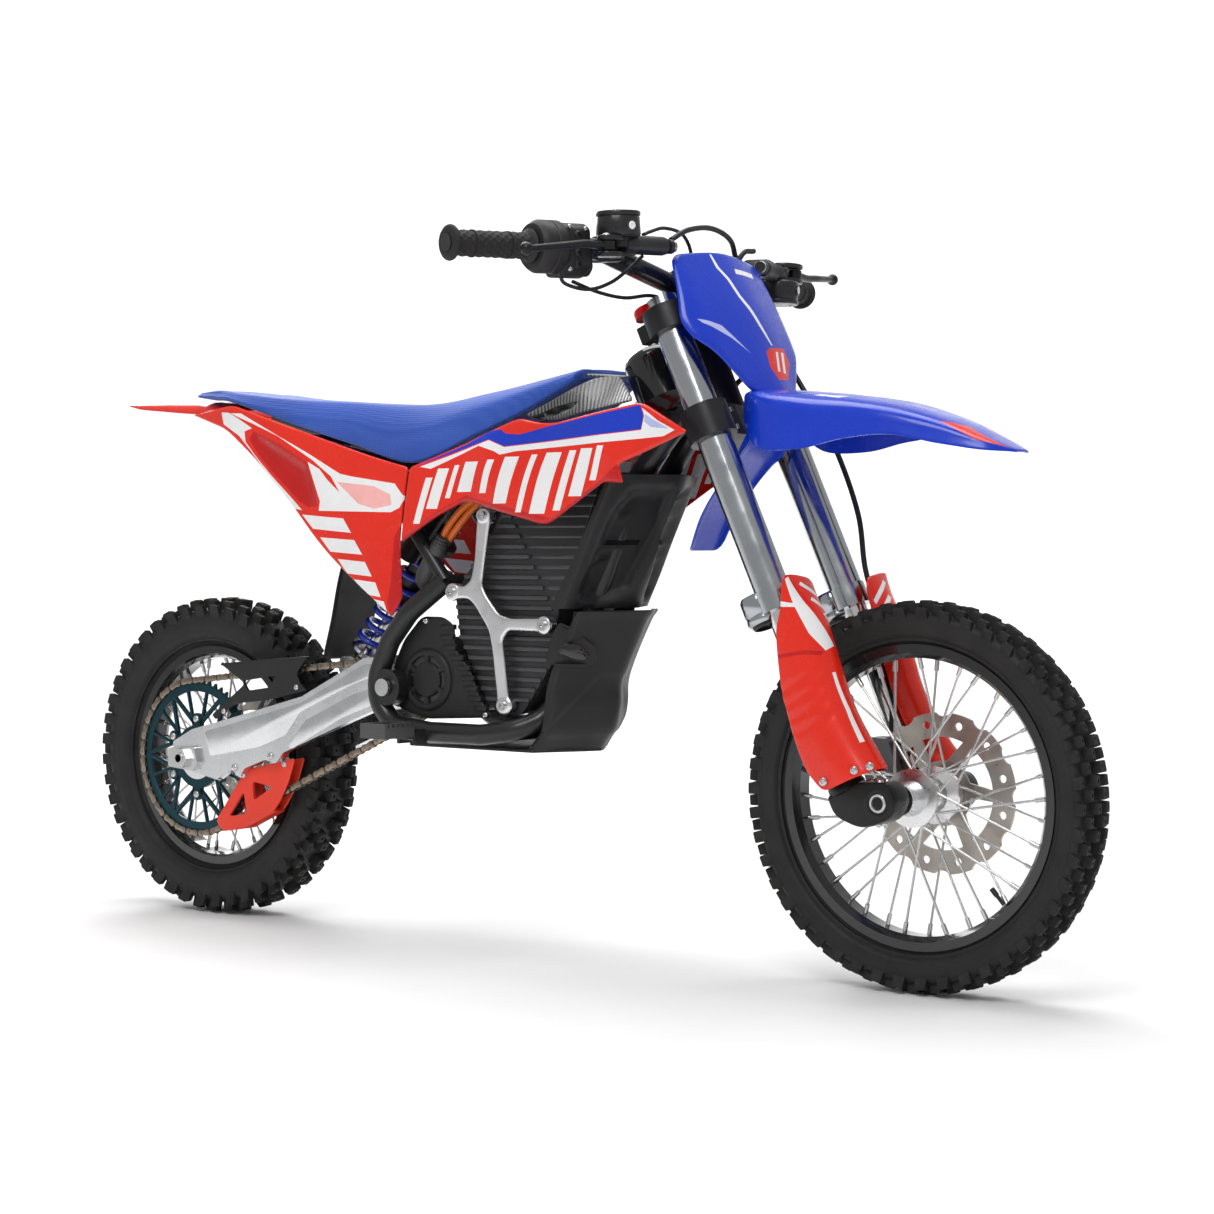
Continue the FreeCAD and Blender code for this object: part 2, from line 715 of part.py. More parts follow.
def make_grips():
    """Right grip is the throttle sleeve and turns on the bar; the left one is fixed."""
    bar = dim("grip_bar_radius")
    for left, name, bore in ((False, "throttle_grip", bar + 0.05), (True, "left_grip", bar)):
        shape = lathe([(bore, 100), (21, 100), (21, 104), (16.5, 106), (16, 214), (22, 215),
                       (22, 219), (17, 222), (bore, 222)])
        keep(name, solid_feature(name, on_grip(shape, left)))


def make_switchgear():
    """Throttle housing with its switch box, and the smaller switch block on the left."""
    bar = dim("grip_bar_radius")
    drum = lathe([(bar, 60), (30, 60), (33, 66), (33, 92), (28, 99.5), (bar, 99.5)])
    box = Part.makeBox(46, 68, 40, Vector(-24, -38, 24))
    box = box.makeFillet(7, [e for e in box.Edges if e.Length > 40])
    housing = drum.fuse(box).cut(Part.makeCylinder(bar, 90, Vector(0, 0, 20)))
    housing = housing.cut(Part.makeCylinder(dim("bar_radius"), 16, Vector(0, 0, 6)))
    keep("throttle_housing", solid_feature("throttle_housing", on_grip(housing, False)))
    block = Part.makeBox(40, 44, 34, Vector(-22, -22, 62))
    block = block.makeFillet(6, [e for e in block.Edges if e.Length > 33])
    block = block.cut(Part.makeCylinder(bar, 60, Vector(0, 0, 50)))
    block = block.cut(Part.makeCylinder(5.05, 8, Vector(18, 6, 79), Vector(-1, 0, 0)))
    keep("left_switch", solid_feature("left_switch", on_grip(block, True)))
    stop = Part.makeCylinder(5.0, 10, Vector(22, 6, 79), Vector(-1, 0, 0))
    keep("stop_button", solid_feature("stop_button", on_grip(stop, True)))


LEVER_PIVOT = Vector(45, 0, 17)
LEVER_TIP = Vector(64, -10, 150)


def make_brake_controls():
    """Master cylinder with round reservoir, and the lever that hinges in front of it."""
    bar = dim("bar_radius")
    pin = 4.0
    cylinder = Part.makeCylinder(12, 78, Vector(29, 4, -98))
    pivot = LEVER_PIVOT
    ears = Part.makeBox(32, 26, 26, Vector(22, -12, -18))
    ears = ears.fuse(Part.makeBox(22, 26, 14, Vector(pivot.x - 12, -12, 4)))
    ears = ears.fuse(Part.makeCylinder(10, 26, pivot + Vector(0, -12, 0), Vector(0, 1, 0)))
    perch = Part.makeBox(44, 34, 22, Vector(-18, -17, -24))
    neck = Part.makeCylinder(13, 16, Vector(30, 8, -12), Vector(0, 1, 0))
    pot = Part.makeCylinder(28, 26, Vector(30, 14, -12), Vector(0, 1, 0))
    lid = Part.makeCylinder(26, 4, Vector(30, 40, -12), Vector(0, 1, 0))
    master = cylinder.multiFuse([ears, perch, neck, pot, lid])
    gap = Part.makeBox(60, 12.6, 42, Vector(30, -6.3, 3))
    master = master.cut(gap)
    hole = Part.makeCylinder(pin + 0.05, 40, pivot + Vector(0, -20, 0), Vector(0, 1, 0))
    master = master.cut(hole)
    straight = Part.makeCylinder(bar, 34, Vector(0, 0, -30))
    pair = []
    for left in (False, True):
        tilt = -1 if left else 1
        shape = master if not left else master.mirror(Vector(0, 0, 0), Vector(0, 1, 0))
        placed = on_grip(shape.cut(straight), left).cut(NODES["handlebar"].Shape.translated(
            Vector(-dim("rear_axle_x"), 0, 0)))
        pair.append(placed)
        word = "left" if left else "right"
        blade = make_lever(pin, tilt)
        keep(f"{word}_brake_lever", solid_feature(f"{word}_brake_lever", on_grip(blade, left)))
    keep("master_cylinders", solid_feature("master_cylinders", Part.makeCompound(pair)))


def make_lever(pin, tilt):
    """Forged blade with its pivot pin, in the grip frame of one side."""
    pivot = LEVER_PIVOT
    boss = Part.makeCylinder(9.5, 12, pivot + Vector(0, -6, 0), Vector(0, 1, 0))
    axle = Part.makeCylinder(pin, 28, pivot + Vector(0, -13, 0), Vector(0, 1, 0))
    points = [pivot, Vector(51, 0, 50), Vector(59, tilt * LEVER_TIP.y * 0.5, 100),
              Vector(LEVER_TIP.x, tilt * LEVER_TIP.y, LEVER_TIP.z)]
    arm = tube(points, 5.8, 60.0)
    ball = Part.makeSphere(8.0, points[-1])
    return boss.multiFuse([axle, arm, ball])


def make_number_plate():
    """Front plate, folded along its middle, leaning with the fork."""
    points = {
        "top_r": (68, -96, 742), "top": (80, 0, 748), "top_l": (68, 96, 742),
        "mid_r": (72, -117, 650), "mid": (90, 0, 648), "mid_l": (72, 117, 650),
        "low_r": (80, -47, 541), "low": (88, 0, 536), "low_l": (80, 47, 541),
        "lip_r": (46, -112, 648), "lip_l": (46, 112, 648)}
    faces = [("top_r", "top", "mid"), ("top_r", "mid", "mid_r"), ("top", "top_l", "mid"),
             ("top_l", "mid_l", "mid"), ("mid_r", "mid", "low"), ("mid_r", "low", "low_r"),
             ("mid", "mid_l", "low"), ("mid_l", "low_l", "low"),
             ("top_r", "mid_r", "lip_r"), ("top_l", "lip_l", "mid_l"),
             ("mid_r", "low_r", "lip_r"), ("mid_l", "lip_l", "low_l")]
    plate = thick_panel(points, faces, Vector(-dim("panel_thickness"), 0, 0))
    keep("number_plate", solid_feature("number_plate", plate, "fork"))


def make_front_fender():
    """Arched fender under the lower clamp, with a flap behind the fork legs."""
    wall = dim("panel_thickness")
    stations = [(965, 56, 746, 736, 700), (1000, 78, 745, 728, 672), (1065, 82, 741, 708, 669),
                (1125, 80, 734, 704, 680), (1185, 73, 722, 698, 684), (1245, 60, 702, 686, 672),
                (1300, 42, 676, 668, 662), (1328, 20, 663, 660, 657)]

    def arch(x, half, ridge, crease, edge):
        top = [(0, ridge), (half * 0.5, ridge - 0.2 * (ridge - crease)), (half - 3, crease),
               (half, edge)]
        below = [(y - (0.6 * wall if y else 0), z - wall) for y, z in top[:-1]]
        below.append((half - wall, edge))
        right = [Vector(x, -y, z) for y, z in reversed(top)]
        left = [flip(p) for p in reversed(right[:-1])]
        under_left = [Vector(x, y, z) for y, z in reversed(below)]
        under_right = [flip(p) for p in reversed(under_left[:-1])]
        return right + left + under_left + under_right

    fender = skin([arch(*station) for station in stations])
    track = [(980, 730), (968, 690), (930, 648), (885, 592), (862, 541)]

    def strap(x, z, half):
        rim = [(-half, 8), (-half * 0.7, 0), (half * 0.7, 0), (half, 8)]
        outer = [Vector(x + ahead, y, z) for y, ahead in rim]
        return outer + [p + Vector(-wall - 0.5, 0, 0) for p in reversed(outer)]

    flap = skin([strap(x, z, half) for (x, z), half in zip(track, (52, 50, 46, 41, 38))])
    keep("front_fender", solid_feature("front_fender", fender.fuse(flap)))


# ---------------------------------------------------------------- frame, motor, battery
FRAME_LOOP = [(500, 84, 500), (455, 106, 458), (420, 106, 418), (397, 106, 368), (398, 106, 334),
              (425, 106, 303), (490, 106, 296), (580, 106, 296), (632, 99, 303), (656, 71, 318),
              (684, 44, 360), (704, 36, 410), (716, 34, 470), (786, 32, 640), (868, 20, 734)]
SPINE = [(886, 0, 722), (790, 0, 694), (650, 0, 672), (486, 0, 668)]
SPINE_LEG = [(600, 0, 670), (560, 0, 640), (522, 0, 560), (497, 0, 500)]


def right_points(points):
    return [Vector(x, -y, z) for x, y, z in points]


def make_frame():
    """Steering head, spine, one tube loop each side, cross tubes and the seat rails."""
    big, small = dim("frame_tube_radius"), 10.0
    head_low, head_high = fork_point(0, 0, 552), fork_point(0, 0, 651)
    bore = 22.0
    head = rod(head_low, head_high, dim("head_tube_radius"))
    loop = tube(right_points(FRAME_LOOP), big, 42.0)
    spine = tube([Vector(*p) for p in SPINE], 15.0, 60.0)
    leg = tube([Vector(*p) for p in SPINE_LEG], 14.0, 40.0)
    rail = tube(right_points([(545, 12, 674), (380, 52, 660), (200, 54, 700), (60, 46, 742)]),
                small, 80.0)
    stay = tube(right_points([(497, 80, 500), (410, 80, 610), (372, 54, 660)]), small, 30.0)
    pivot = Vector(dim("pivot_x"), 0, dim("pivot_z"))
    lug_in, lug_out = Vector(pivot.x, -97, pivot.z), Vector(pivot.x, -118, pivot.z)
    lug = rod(lug_in, lug_out, 25.0)
    crossers = [rod(Vector(x, -half, z), Vector(x, half, z), small)
                for x, half, z in ((497, 84, 500), (600, 102, 296), (700, 36, 400), (200, 54, 700))]
    ears = Part.makeBox(34, 52, 44, Vector(470, -26, 624))
    pieces = [loop, rail, stay, lug]
    frame = spine.multiFuse([head, leg] + pieces + [flipped(p) for p in pieces] + crossers
                            + [ears])
    top = Vector(dim("shock_top_x"), 0, dim("shock_top_z"))
    frame = frame.cut(Part.makeBox(90, 30.6, 56, Vector(440, -15.3, 600)))
    frame = frame.cut(rod(top + Vector(0, -40, 0), top + Vector(0, 40, 0), 5.0))
    frame = frame.cut(rod(fork_point(0, 0, 540), fork_point(0, 0, 660), bore))
    frame = frame.cut(rod(lug_out, flip(lug_out), dim("pivot_radius")))
    frame = frame.fuse(make_peg_pins())
    keep("main_frame", group("main_frame", [solid_feature("frame_weldment", frame),
                                            make_steering_bearings()]))


def make_steering_bearings():
    """Two bearings pressed into the steering head."""
    rings = []
    for low in (553.0, 636.0):
        ring = Part.makeCylinder(22.0, 14, Vector(0, 0, low))
        rings.append(ring.cut(Part.makeCylinder(dim("stem_radius") + 0.05, 20,
                                                Vector(0, 0, low - 2))))
    return solid_feature("steering_bearings", Part.makeCompound(rings), "fork")


def make_head_cowl():
    """Glossy rounded cover behind the steering head, over the charging socket."""
    made = body("head_cowl", "fork")
    sk = sketch(made, "XY", 612.0)
    circle(sk, -76.0, 0, 38.0)
    column = pad(made, sk, 72.0)
    doc.recompute()
    tops = [index for index, edge in enumerate(column.Shape.Edges, start=1)
            if edge.BoundBox.ZMin > 683.0]
    fillet = made.newObject("PartDesign::Fillet", "Fillet")
    fillet.Base = (column, [f"Edge{tops[0]}"])
    fillet.Radius = 16.0
    made.Tip = fillet
    keep("head_cowl", made)


BATTERY = [(514, 484), (548, 528), (606, 600), (640, 645), (766, 645), (692, 470), (682, 395),
           (630, 324), (606, 352)]


def make_battery():
    """Cast battery case with horizontal cooling fins on both flanks."""
    half, depth, rows = 84.0, 7.0, 22
    made = body("battery_case", "bike")
    core = sketch(made, "XZ")
    outline(core, BATTERY, 6.0)
    pad(made, core, 2 * half, midplane=True)
    groove = sketch(made, "XZ", half - depth)
    for row in range(rows):
        z = 340.0 + row * 13.6
        outline(groove, [(490, z), (790, z), (790, z + 6.0), (490, z + 6.0)])
    cut = pocket(made, groove, depth + 1)
    cut.Reversed = True
    other = sketch(made, "XZ", -half + depth)
    for row in range(rows):
        z = 340.0 + row * 13.6
        outline(other, [(490, z), (790, z), (790, z + 6.0), (490, z + 6.0)])
    pocket(made, other, depth + 1)
    keep("battery_case", made)


def make_braces():
    """Four-ended forged brace on each flank: four pads joined by slim bars."""
    ends = [(578, 589), (524, 486), (680, 444), (612, 336)]
    joints = [(563, 487), (596, 446)]
    made = body("brace_right", "bike")
    start, thick = 90.0, 9.0
    sk = sketch(made, "XZ", start)
    circle(sk, ends[0][0], ends[0][1], 12.0)
    pad(made, sk, thick)
    for x, z in ends[1:] + joints:
        pad_sketch = sketch(made, "XZ", start)
        circle(pad_sketch, x, z, 12.0 if (x, z) in ends else 9.0)
        pad(made, pad_sketch, thick)
    for (ax, az), (bx, bz), width in ((ends[0], joints[0], 7), (ends[1], joints[0], 7),
                                      (joints[0], joints[1], 8), (joints[1], ends[2], 7),
                                      (joints[1], ends[3], 7)):
        length = hypot(bx - ax, bz - az)
        nx, nz = -(bz - az) / length * width, (bx - ax) / length * width
        bar = sketch(made, "XZ", start)
        outline(bar, [(ax + nx, az + nz), (bx + nx, bz + nz), (bx - nx, bz - nz),
                      (ax - nx, az - nz)])
        pad(made, bar, thick)
    keep("battery_braces", group("battery_braces", [made, mirror("brace_left", made)]))
    bolts = []
    for x, z in ends:
        head = Part.makeCylinder(6.5, 6.0, Vector(x, -start - thick, z), Vector(0, -1, 0))
        socket = Part.makeCylinder(3.0, 4.0, Vector(x, -start - thick - 6.0, z), Vector(0, 1, 0))
        bolts += [head.cut(socket), flipped(head.cut(socket))]
    return solid_feature("brace_bolts", Part.makeCompound(bolts))


def make_motor():
    """Motor can behind the sprocket plane, and the ribbed drive cover outside it."""
    motor = body("motor", "drive")
    sk = sketch(motor, "XZ", -66.0)
    circle(sk, 0, 0, 52.0)
    pad(motor, sk, 114.0)
    nose = sketch(motor, "XZ", 48.0)
    circle(nose, 0, 0, 20.0)
    pad(motor, nose, 3.0)
    bore = sketch(motor, "XZ")
    circle(bore, 0, 0, dim("drive_shaft_radius") + 0.05)
    pocket(motor, bore)
    keep("motor", motor)
    gear = body("drive_sprocket", "drive")
    wheel = sketch(gear, "XZ", dim("chain_y") - 2.5)
    sprocket_outline(wheel, int(dim("front_teeth")), CHAIN["front_phase"])
    pad(gear, wheel, 5.0)
    shaft = sketch(gear, "XZ", -60.0)
    circle(shaft, 0, 0, "drive_shaft_radius")
    pad(gear, shaft, 132.0)
    keep("drive_sprocket", gear)
    cover = side_plate("drive_cover", [(404, 352), (412, 386), (430, 420), (462, 452),
                                       (500, 452), (520, 440), (520, 410), (548, 380),
                                       (566, 340), (586, 318), (470, 312), (424, 322)],
                       86.0, 5.5, 8.0)
    passage = sketch(cover, "XZ")
    circle(passage, dim("pivot_x"), dim("pivot_z"), 12.0)
    pocket(cover, passage)
    cap = sketch(cover, "XZ", 91.5)
    circle(cap, 474, 366, 39.0)
    circle(cap, 474, 366, 32.0)
    pad(cover, cap, 5.0)
    dome = sketch(cover, "XZ", 91.5)
    circle(dome, 474, 366, 24.0)
    pad(cover, dome, 4.0)
    keep("drive_cover", cover)


def nose_loop(z, back, front, half, reach=52.0, wall=3.2):
    """Level loop of a wall that wraps round the front of the battery.

    The wall starts at back on both flanks, turns in at front and meets in a rounded nose.
    """
    outer = [(back, half), (front, half), (front + 0.50 * reach, 0.53 * half),
             (front + 0.88 * reach, 0.19 * half)]
    inner = [(back, half - wall), (front - 0.8, half - wall),
             (front + 0.50 * reach - 2.4, 0.53 * half - 1.6),
             (front + 0.88 * reach - 3.0, 0.19 * half - 0.8)]
    out_right = [Vector(x, -y, z) for x, y in outer]
    in_right = [Vector(x, -y, z) for x, y in inner]
    return (out_right + [Vector(front + reach, 0, z)] + [flip(p) for p in reversed(out_right)]
            + [flip(p) for p in in_right] + [Vector(front + reach - wall, 0, z)]
            + list(reversed(in_right)))


def make_belly_guard():
    """Moulded pan under the battery, with a nose that wraps round its lower front."""
    levels = [(276, 640, 650), (290, 654, 660), (300, 664, 670), (312, 668, 676),
              (337, 672, 681), (363, 676, 682), (389, 686, 691), (428, 705, 710),
              (462, 725, 729)]
    nose = skin([nose_loop(z, back, front, 85.0) for z, back, front in levels])
    plan = [(436, 85), (650, 85), (676, 45), (695.7, 16), (702, 0)]
    right = [Vector(x, -y, 274) for x, y in plan]
    rim = right + [flip(p) for p in reversed(right[:-1])]
    floor = Part.Face(Part.makePolygon(rim + [rim[0]])).extrude(Vector(0, 0, 4))
    lip = Part.makeBox(4, 170, 12, Vector(436, -85, 274))
    guard = nose.multiFuse([floor, lip])
    for y in (-48, -16, 16, 48):
        drain = Part.makeBox(26, 8, 20, Vector(600, y - 4, 264))
        guard = guard.cut(drain)
    keep("belly_guard", solid_feature("belly_guard", guard))


def make_side_covers():
    """Black front cover over the battery's upper front, with a slatted duct in each flank."""
    levels = [(466, 690, 705), (510, 716, 727), (556, 741, 748), (606, 766, 772),
              (640, 784, 788)]
    cover = skin([nose_loop(z, back, front, 97.0) for z, back, front in levels])
    for z in (500, 524, 548, 572):
        x = 733 + (z - 500) * 0.5
        slot = Part.makeBox(13, 26, 6, Vector(x + 8, -84, z))
        cover = cover.cut(slot).cut(flipped(slot))
    keep("side_covers", solid_feature("side_covers", cover))


# ---------------------------------------------------------------- bodywork and seat
def make_side_panels():
    """Rear side panels from the tail to the tip in front of the swingarm pivot."""
    points = {"tail": (10, -79, 740), "top": (112, -100, 751), "top2": (246, -106, 712),
              "top3": (396, -110, 669), "seat": (457, -113, 655), "step": (441, -113, 552),
              "side": (449, -117, 475), "tip": (431, -118, 451), "low4": (364, -116, 497),
              "low3": (300, -114, 545), "low2": (236, -110, 608), "low1": (172, -106, 665),
              "low0": (98, -98, 716)}
    faces = [("tail", "top", "low0"), ("top", "top2", "low1"), ("top", "low1", "low0"),
             ("top2", "top3", "low2"), ("top2", "low2", "low1"), ("top3", "low3", "low2"),
             ("top3", "seat", "step"), ("top3", "step", "low3"), ("step", "low4", "low3"),
             ("step", "side", "low4"), ("side", "tip", "low4")]
    panel = thick_panel(points, faces, Vector(0, dim("panel_thickness"), 0))
    keep("side_panels", solid_feature("side_panels", both(panel)))


def make_shrouds():
    """Front shrouds from the seat's lowest point to the tips beside the fork."""
    points = {"seat": (460, -113, 655), "rise": (560, -112, 686), "carbon": (648, -112, 716),
              "mid": (700, -116, 706), "high": (858, -128, 730), "tip": (942, -148, 690),
              "under": (826, -134, 652), "notch": (833, -134, 628), "low": (800, -131, 630),
              "point": (708, -129, 574), "scoop": (597, -122, 600), "bend": (566, -120, 609),
              "curve": (512, -118, 588), "step": (444, -114, 552)}
    faces = [("seat", "rise", "curve"), ("seat", "curve", "step"), ("rise", "bend", "curve"),
             ("rise", "carbon", "bend"), ("carbon", "scoop", "bend"), ("carbon", "mid", "scoop"),
             ("mid", "point", "scoop"), ("mid", "low", "point"), ("mid", "high", "low"),
             ("high", "under", "low"), ("high", "tip", "under"), ("under", "notch", "low")]
    shroud = thick_panel(points, faces, Vector(0, dim("panel_thickness"), 0))
    keep("shrouds", solid_feature("shrouds", both(shroud)))


def make_top_covers():
    """Patterned panels that close the gap between the seat's nose and the shrouds."""
    points = {"a": (650, -104, 720), "b": (742, -66, 768), "c": (774, -56, 770),
              "d": (852, -118, 734), "e": (702, -109, 710)}
    faces = [("a", "b", "e"), ("b", "d", "e"), ("b", "c", "d")]
    cover = thick_panel(points, faces, Vector(0, 2.0, -2.0))
    nose = {"a": (716, -58, 772), "b": (716, 58, 772), "c": (741, -65.5, 768),
            "d": (741, 65.5, 768)}
    lid = thick_panel(nose, [("a", "b", "c"), ("b", "d", "c")], Vector(0, 0, -2.5))
    keep("top_cover", solid_feature("top_cover", Part.makeCompound(
        [cover, flipped(cover), lid])))


def make_tail():
    """Rear fender: a shallow channel that tapers to the tip behind the seat."""
    stations = [(-186, 24, 765, 759), (-110, 46, 765, 752), (-20, 68, 764, 744),
                (8, 74, 763, 742), (60, 84, 757, 738), (110, 90, 747, 738)]

    def channel(x, half, top, side):
        rim = [(half, side), (half - 2, top - 3), (half * 0.4, top), (0, top)]
        right = [Vector(x, -y, z) for y, z in rim]
        upper = right + [flip(p) for p in reversed(right[:-1])]
        lower = [Vector(p.x, p.y * (1 - 3 / half), p.z - (0 if abs(p.y) > half - 1 else 3))
                 for p in reversed(upper)]
        return upper + lower

    keep("rear_fender", group("rear_fender", [
        solid_feature("tail_fender", skin([channel(*s) for s in stations])), make_mudguard()]))


def make_seat():
    """Foam seat: narrow nose, deep flanks where the rider stands, thin tail."""
    stations = [(14, 74, 62, 774, 766), (60, 84, 72, 776, 760), (110, 96, 80, 770, 754),
                (230, 101, 82, 758, 720), (350, 104, 80, 749, 688), (457, 104, 70, 745, 661),
                (560, 102, 62, 757, 693), (650, 92, 54, 773, 729), (712, 70, 44, 784, 766)]

    def loop(x, half, top_half, top, low):
        under = max(low, top - 44)
        return level_loop(x, [(0, under), (half - 18, under), (half - 12, low), (half, low),
                              (half - 2, low + 0.35 * (top - low)), (top_half, top - 5),
                              (0, top)])

    keep("seat", solid_feature("seat", skin([loop(*s) for s in stations])))


def make_mudguard():
    """Inner mudguard that keeps the wheel's dirt off the shock."""
    track = [(335, 645), (276, 530), (252, 442), (236, 388)]

    def strip(x, z):
        front = [Vector(x, y, z) for y in (-45, 45)]
        return front + [p + Vector(-4, 0, 1) for p in reversed(front)]

    return solid_feature("inner_mudguard", skin([strip(x, z) for x, z in track]))


# ---------------------------------------------------------------- chain
def chain_layout():
    """Roller places along the two sprockets and the two tangent runs between them."""
    pitch = dim("chain_pitch")
    rear = Vector(0, 0, dim("rear_axle_z"))
    front = Vector(dim("drive_x"), 0, dim("drive_z"))
    big = pitch / (2 * sin(pi / dim("rear_teeth")))
    small = pitch / (2 * sin(pi / dim("front_teeth")))
    line = front - rear
    slope = atan2(line.z, line.x)
    spread = asin((big - small) / line.Length)
    top_angle = pi / 2 + slope - spread
    low_angle = -pi / 2 + slope + spread

    def around(centre, radius, angle):
        return centre + Vector(radius * cos(angle), 0, radius * sin(angle))

    step = 2 * pi / dim("rear_teeth")
    first = int(top_angle / step) + 1
    last = int((low_angle + 2 * pi) / step)
    rear_angles = [k * step for k in range(first, last + 1)]
    rollers = [around(rear, big, a) for a in rear_angles]
    top_start, top_end = around(rear, big, top_angle), around(front, small, top_angle)
    low_start, low_end = around(rear, big, low_angle), around(front, small, low_angle)
    lead = (rear_angles[0] - top_angle) * big
    run = (top_end - top_start).Length
    links = int((lead + run) / pitch) + 1
    rollers_top = [top_start + (top_end - top_start) * ((k * pitch - lead) / run)
                   for k in range(1, links)]
    past = links * pitch - lead - run
    front_step = 2 * pi / dim("front_teeth")
    phase = top_angle - past / small
    front_angles = []
    angle = phase
    while angle > low_angle:
        front_angles.append(angle)
        angle -= front_step
    rollers_front = [around(front, small, a) for a in front_angles]
    gap_front = (front_angles[-1] - low_angle) * small
    gap_rear = (low_angle + 2 * pi - rear_angles[-1]) * big
    low_run = (low_start - low_end).Length
    whole = gap_front + low_run + gap_rear
    count = round(whole / pitch)
    spaced = [k * whole / count - gap_front for k in range(1, count)]
    rollers_low = [low_end + (low_start - low_end) * (s / low_run) for s in spaced
                   if 0 <= s <= low_run]
    return {"rear": rear, "front": front, "big": big, "small": small, "top_angle": top_angle,
            "low_angle": low_angle, "front_phase": phase,
            "rollers": rollers + rollers_top + rollers_front + rollers_low}


CHAIN = chain_layout()


def make_chain():
    """Roller chain: two link bands and the rollers between them."""
    y = dim("chain_y")
    bands = []
    for label, start in (("chain_band_inner", y - 5.3), ("chain_band_outer", y + 3.3)):
        band = body(label, "bike")
        sk = sketch(band, "XZ", start)
        for grow in (5.2, -5.2):
            chain_band(sk, grow)
        pad(band, sk, 2.0)
        bands.append(band)
    rollers = [rod(p + Vector(0, -y - 3.3, 0), p + Vector(0, -y + 3.3, 0), 3.2)
               for p in CHAIN["rollers"]]
    pins = solid_feature("chain_rollers", Part.makeCompound(rollers))
    keep("drive_chain", group("drive_chain", bands + [pins]))


def chain_band(sk, grow):
    """Closed loop round both sprockets, offset from the pitch line."""
    big, small = CHAIN["big"] + grow, CHAIN["small"] + grow
    top, low = CHAIN["top_angle"], CHAIN["low_angle"]

    def at(centre, radius, angle):
        return Vector(centre.x + radius * cos(angle), centre.z + radius * sin(angle), 0)

    rear, front = CHAIN["rear"], CHAIN["front"]
    sk.addGeometry(Part.Arc(at(rear, big, top), at(rear, big, (top + low) / 2 + pi),
                            at(rear, big, low)))
    sk.addGeometry(Part.Arc(at(front, small, top), at(front, small, (top + low) / 2),
                            at(front, small, low)))
    sk.addGeometry(Part.LineSegment(at(rear, big, top), at(front, small, top)))
    sk.addGeometry(Part.LineSegment(at(rear, big, low), at(front, small, low)))


# ---------------------------------------------------------------- swingarm and rear suspension
SWINGARM = [(421, 385), (398, 384), (372, 393), (352, 392), (233, 334), (94, 298), (12, 278),
            (-28, 258), (-26, 226), (12, 216), (63, 206), (90, 222), (112, 216), (120, 226),
            (160, 240), (182, 236), (196, 252), (310, 297), (398, 330), (421, 325),
            (448, 340), (451, 364)]


def make_swingarm():
    """Two deep side arms, the pivot tube, a bridge tube and the ears for the shock."""
    made = body("swingarm", "bike")
    for start in (dim("arm_inner"), -dim("arm_inner") - dim("arm_thickness")):
        sk = sketch(made, "XZ", start)
        outline(sk, SWINGARM, 5.0)
        pad(made, sk, "Dims.arm_thickness")
    wide = 2 * dim("arm_inner") + 2
    pivot = sketch(made, "XZ")
    circle(pivot, dim("pivot_x"), dim("pivot_z"), "pivot_tube_radius")
    pad(made, pivot, wide, midplane=True)
    bridge = sketch(made, "XZ")
    circle(bridge, 300, 328, 17.0)
    pad(made, bridge, wide, midplane=True)
    ear = sketch(made, "XZ")
    low_x, low_z = dim("shock_low_x"), dim("shock_low_z")
    outline(ear, [(312, 336), (284, 316), (low_x - 16, low_z - 4), (low_x - 12, low_z + 14),
                  (low_x + 12, low_z + 14)], 8.0)
    pad(made, ear, 52.0, midplane=True)
    gap = sketch(made, "XZ")
    circle(gap, low_x, low_z, 31.0)
    pocket(made, gap, 32.0, midplane=True)
    pin = sketch(made, "XZ")
    circle(pin, low_x, low_z, "shock_pin_radius")
    pad(made, pin, 60.0, midplane=True)
    holes = sketch(made, "XZ")
    circle(holes, dim("pivot_x"), dim("pivot_z"), dim("pivot_radius") + 0.05)
    circle(holes, 0, dim("rear_axle_z"), "rear_axle_radius")
    pocket(made, holes)
    keep("swingarm", made)
    bolt = body("pivot_bolt", "bike")
    shaft = sketch(bolt, "XZ")
    circle(shaft, dim("pivot_x"), dim("pivot_z"), "pivot_radius")
    pad(bolt, shaft, 240.0, midplane=True)
    head = sketch(bolt, "XZ", 120.0)
    circle(head, dim("pivot_x"), dim("pivot_z"), 12.0)
    pad(bolt, head, 6.0)
    nut = sketch(bolt, "XZ", -126.0)
    circle(nut, dim("pivot_x"), dim("pivot_z"), 12.0)
    pad(bolt, nut, 6.0)
    return bolt


def make_chain_parts():
    guard = side_plate("chain_guard", [(61, 376), (150, 384), (236, 391), (214, 366), (222, 350),
                                       (234, 342), (160, 326), (90, 318), (52, 293), (44, 300)],
                       71.5, 4.0, 4.0)
    window = sketch(guard, "XZ")
    outline(window, [(108, 352), (176, 362), (160, 344), (118, 338)], 4.0)
    pocket(guard, window)
    keep("chain_guard", guard)
    shape = [(206, 244), (106, 222), (90, 200), (46, 144), (60, 129), (106, 136), (166, 164),
             (192, 206)]
    plate = side_plate("guide_outer", shape, 66.0, 4.0, 6.0)
    inner = side_plate("guide_inner", shape, 46.0, 4.0, 6.0)
    for target in (plate, inner):
        cut = sketch(target, "XZ")
        outline(cut, [(122, 206), (162, 200), (124, 178)], 3.0)
        outline(cut, [(104, 190), (110, 158), (74, 152)], 3.0)
        pocket(target, cut)
    posts = [rod(Vector(x, -66, z), Vector(x, -50, z), 4.0)
             for x, z in ((182, 228), (134, 214), (80, 136), (120, 148), (162, 170))]
    keep("chain_guide", group("chain_guide", [plate, inner, solid_feature(
        "guide_posts", Part.makeCompound(posts))]))


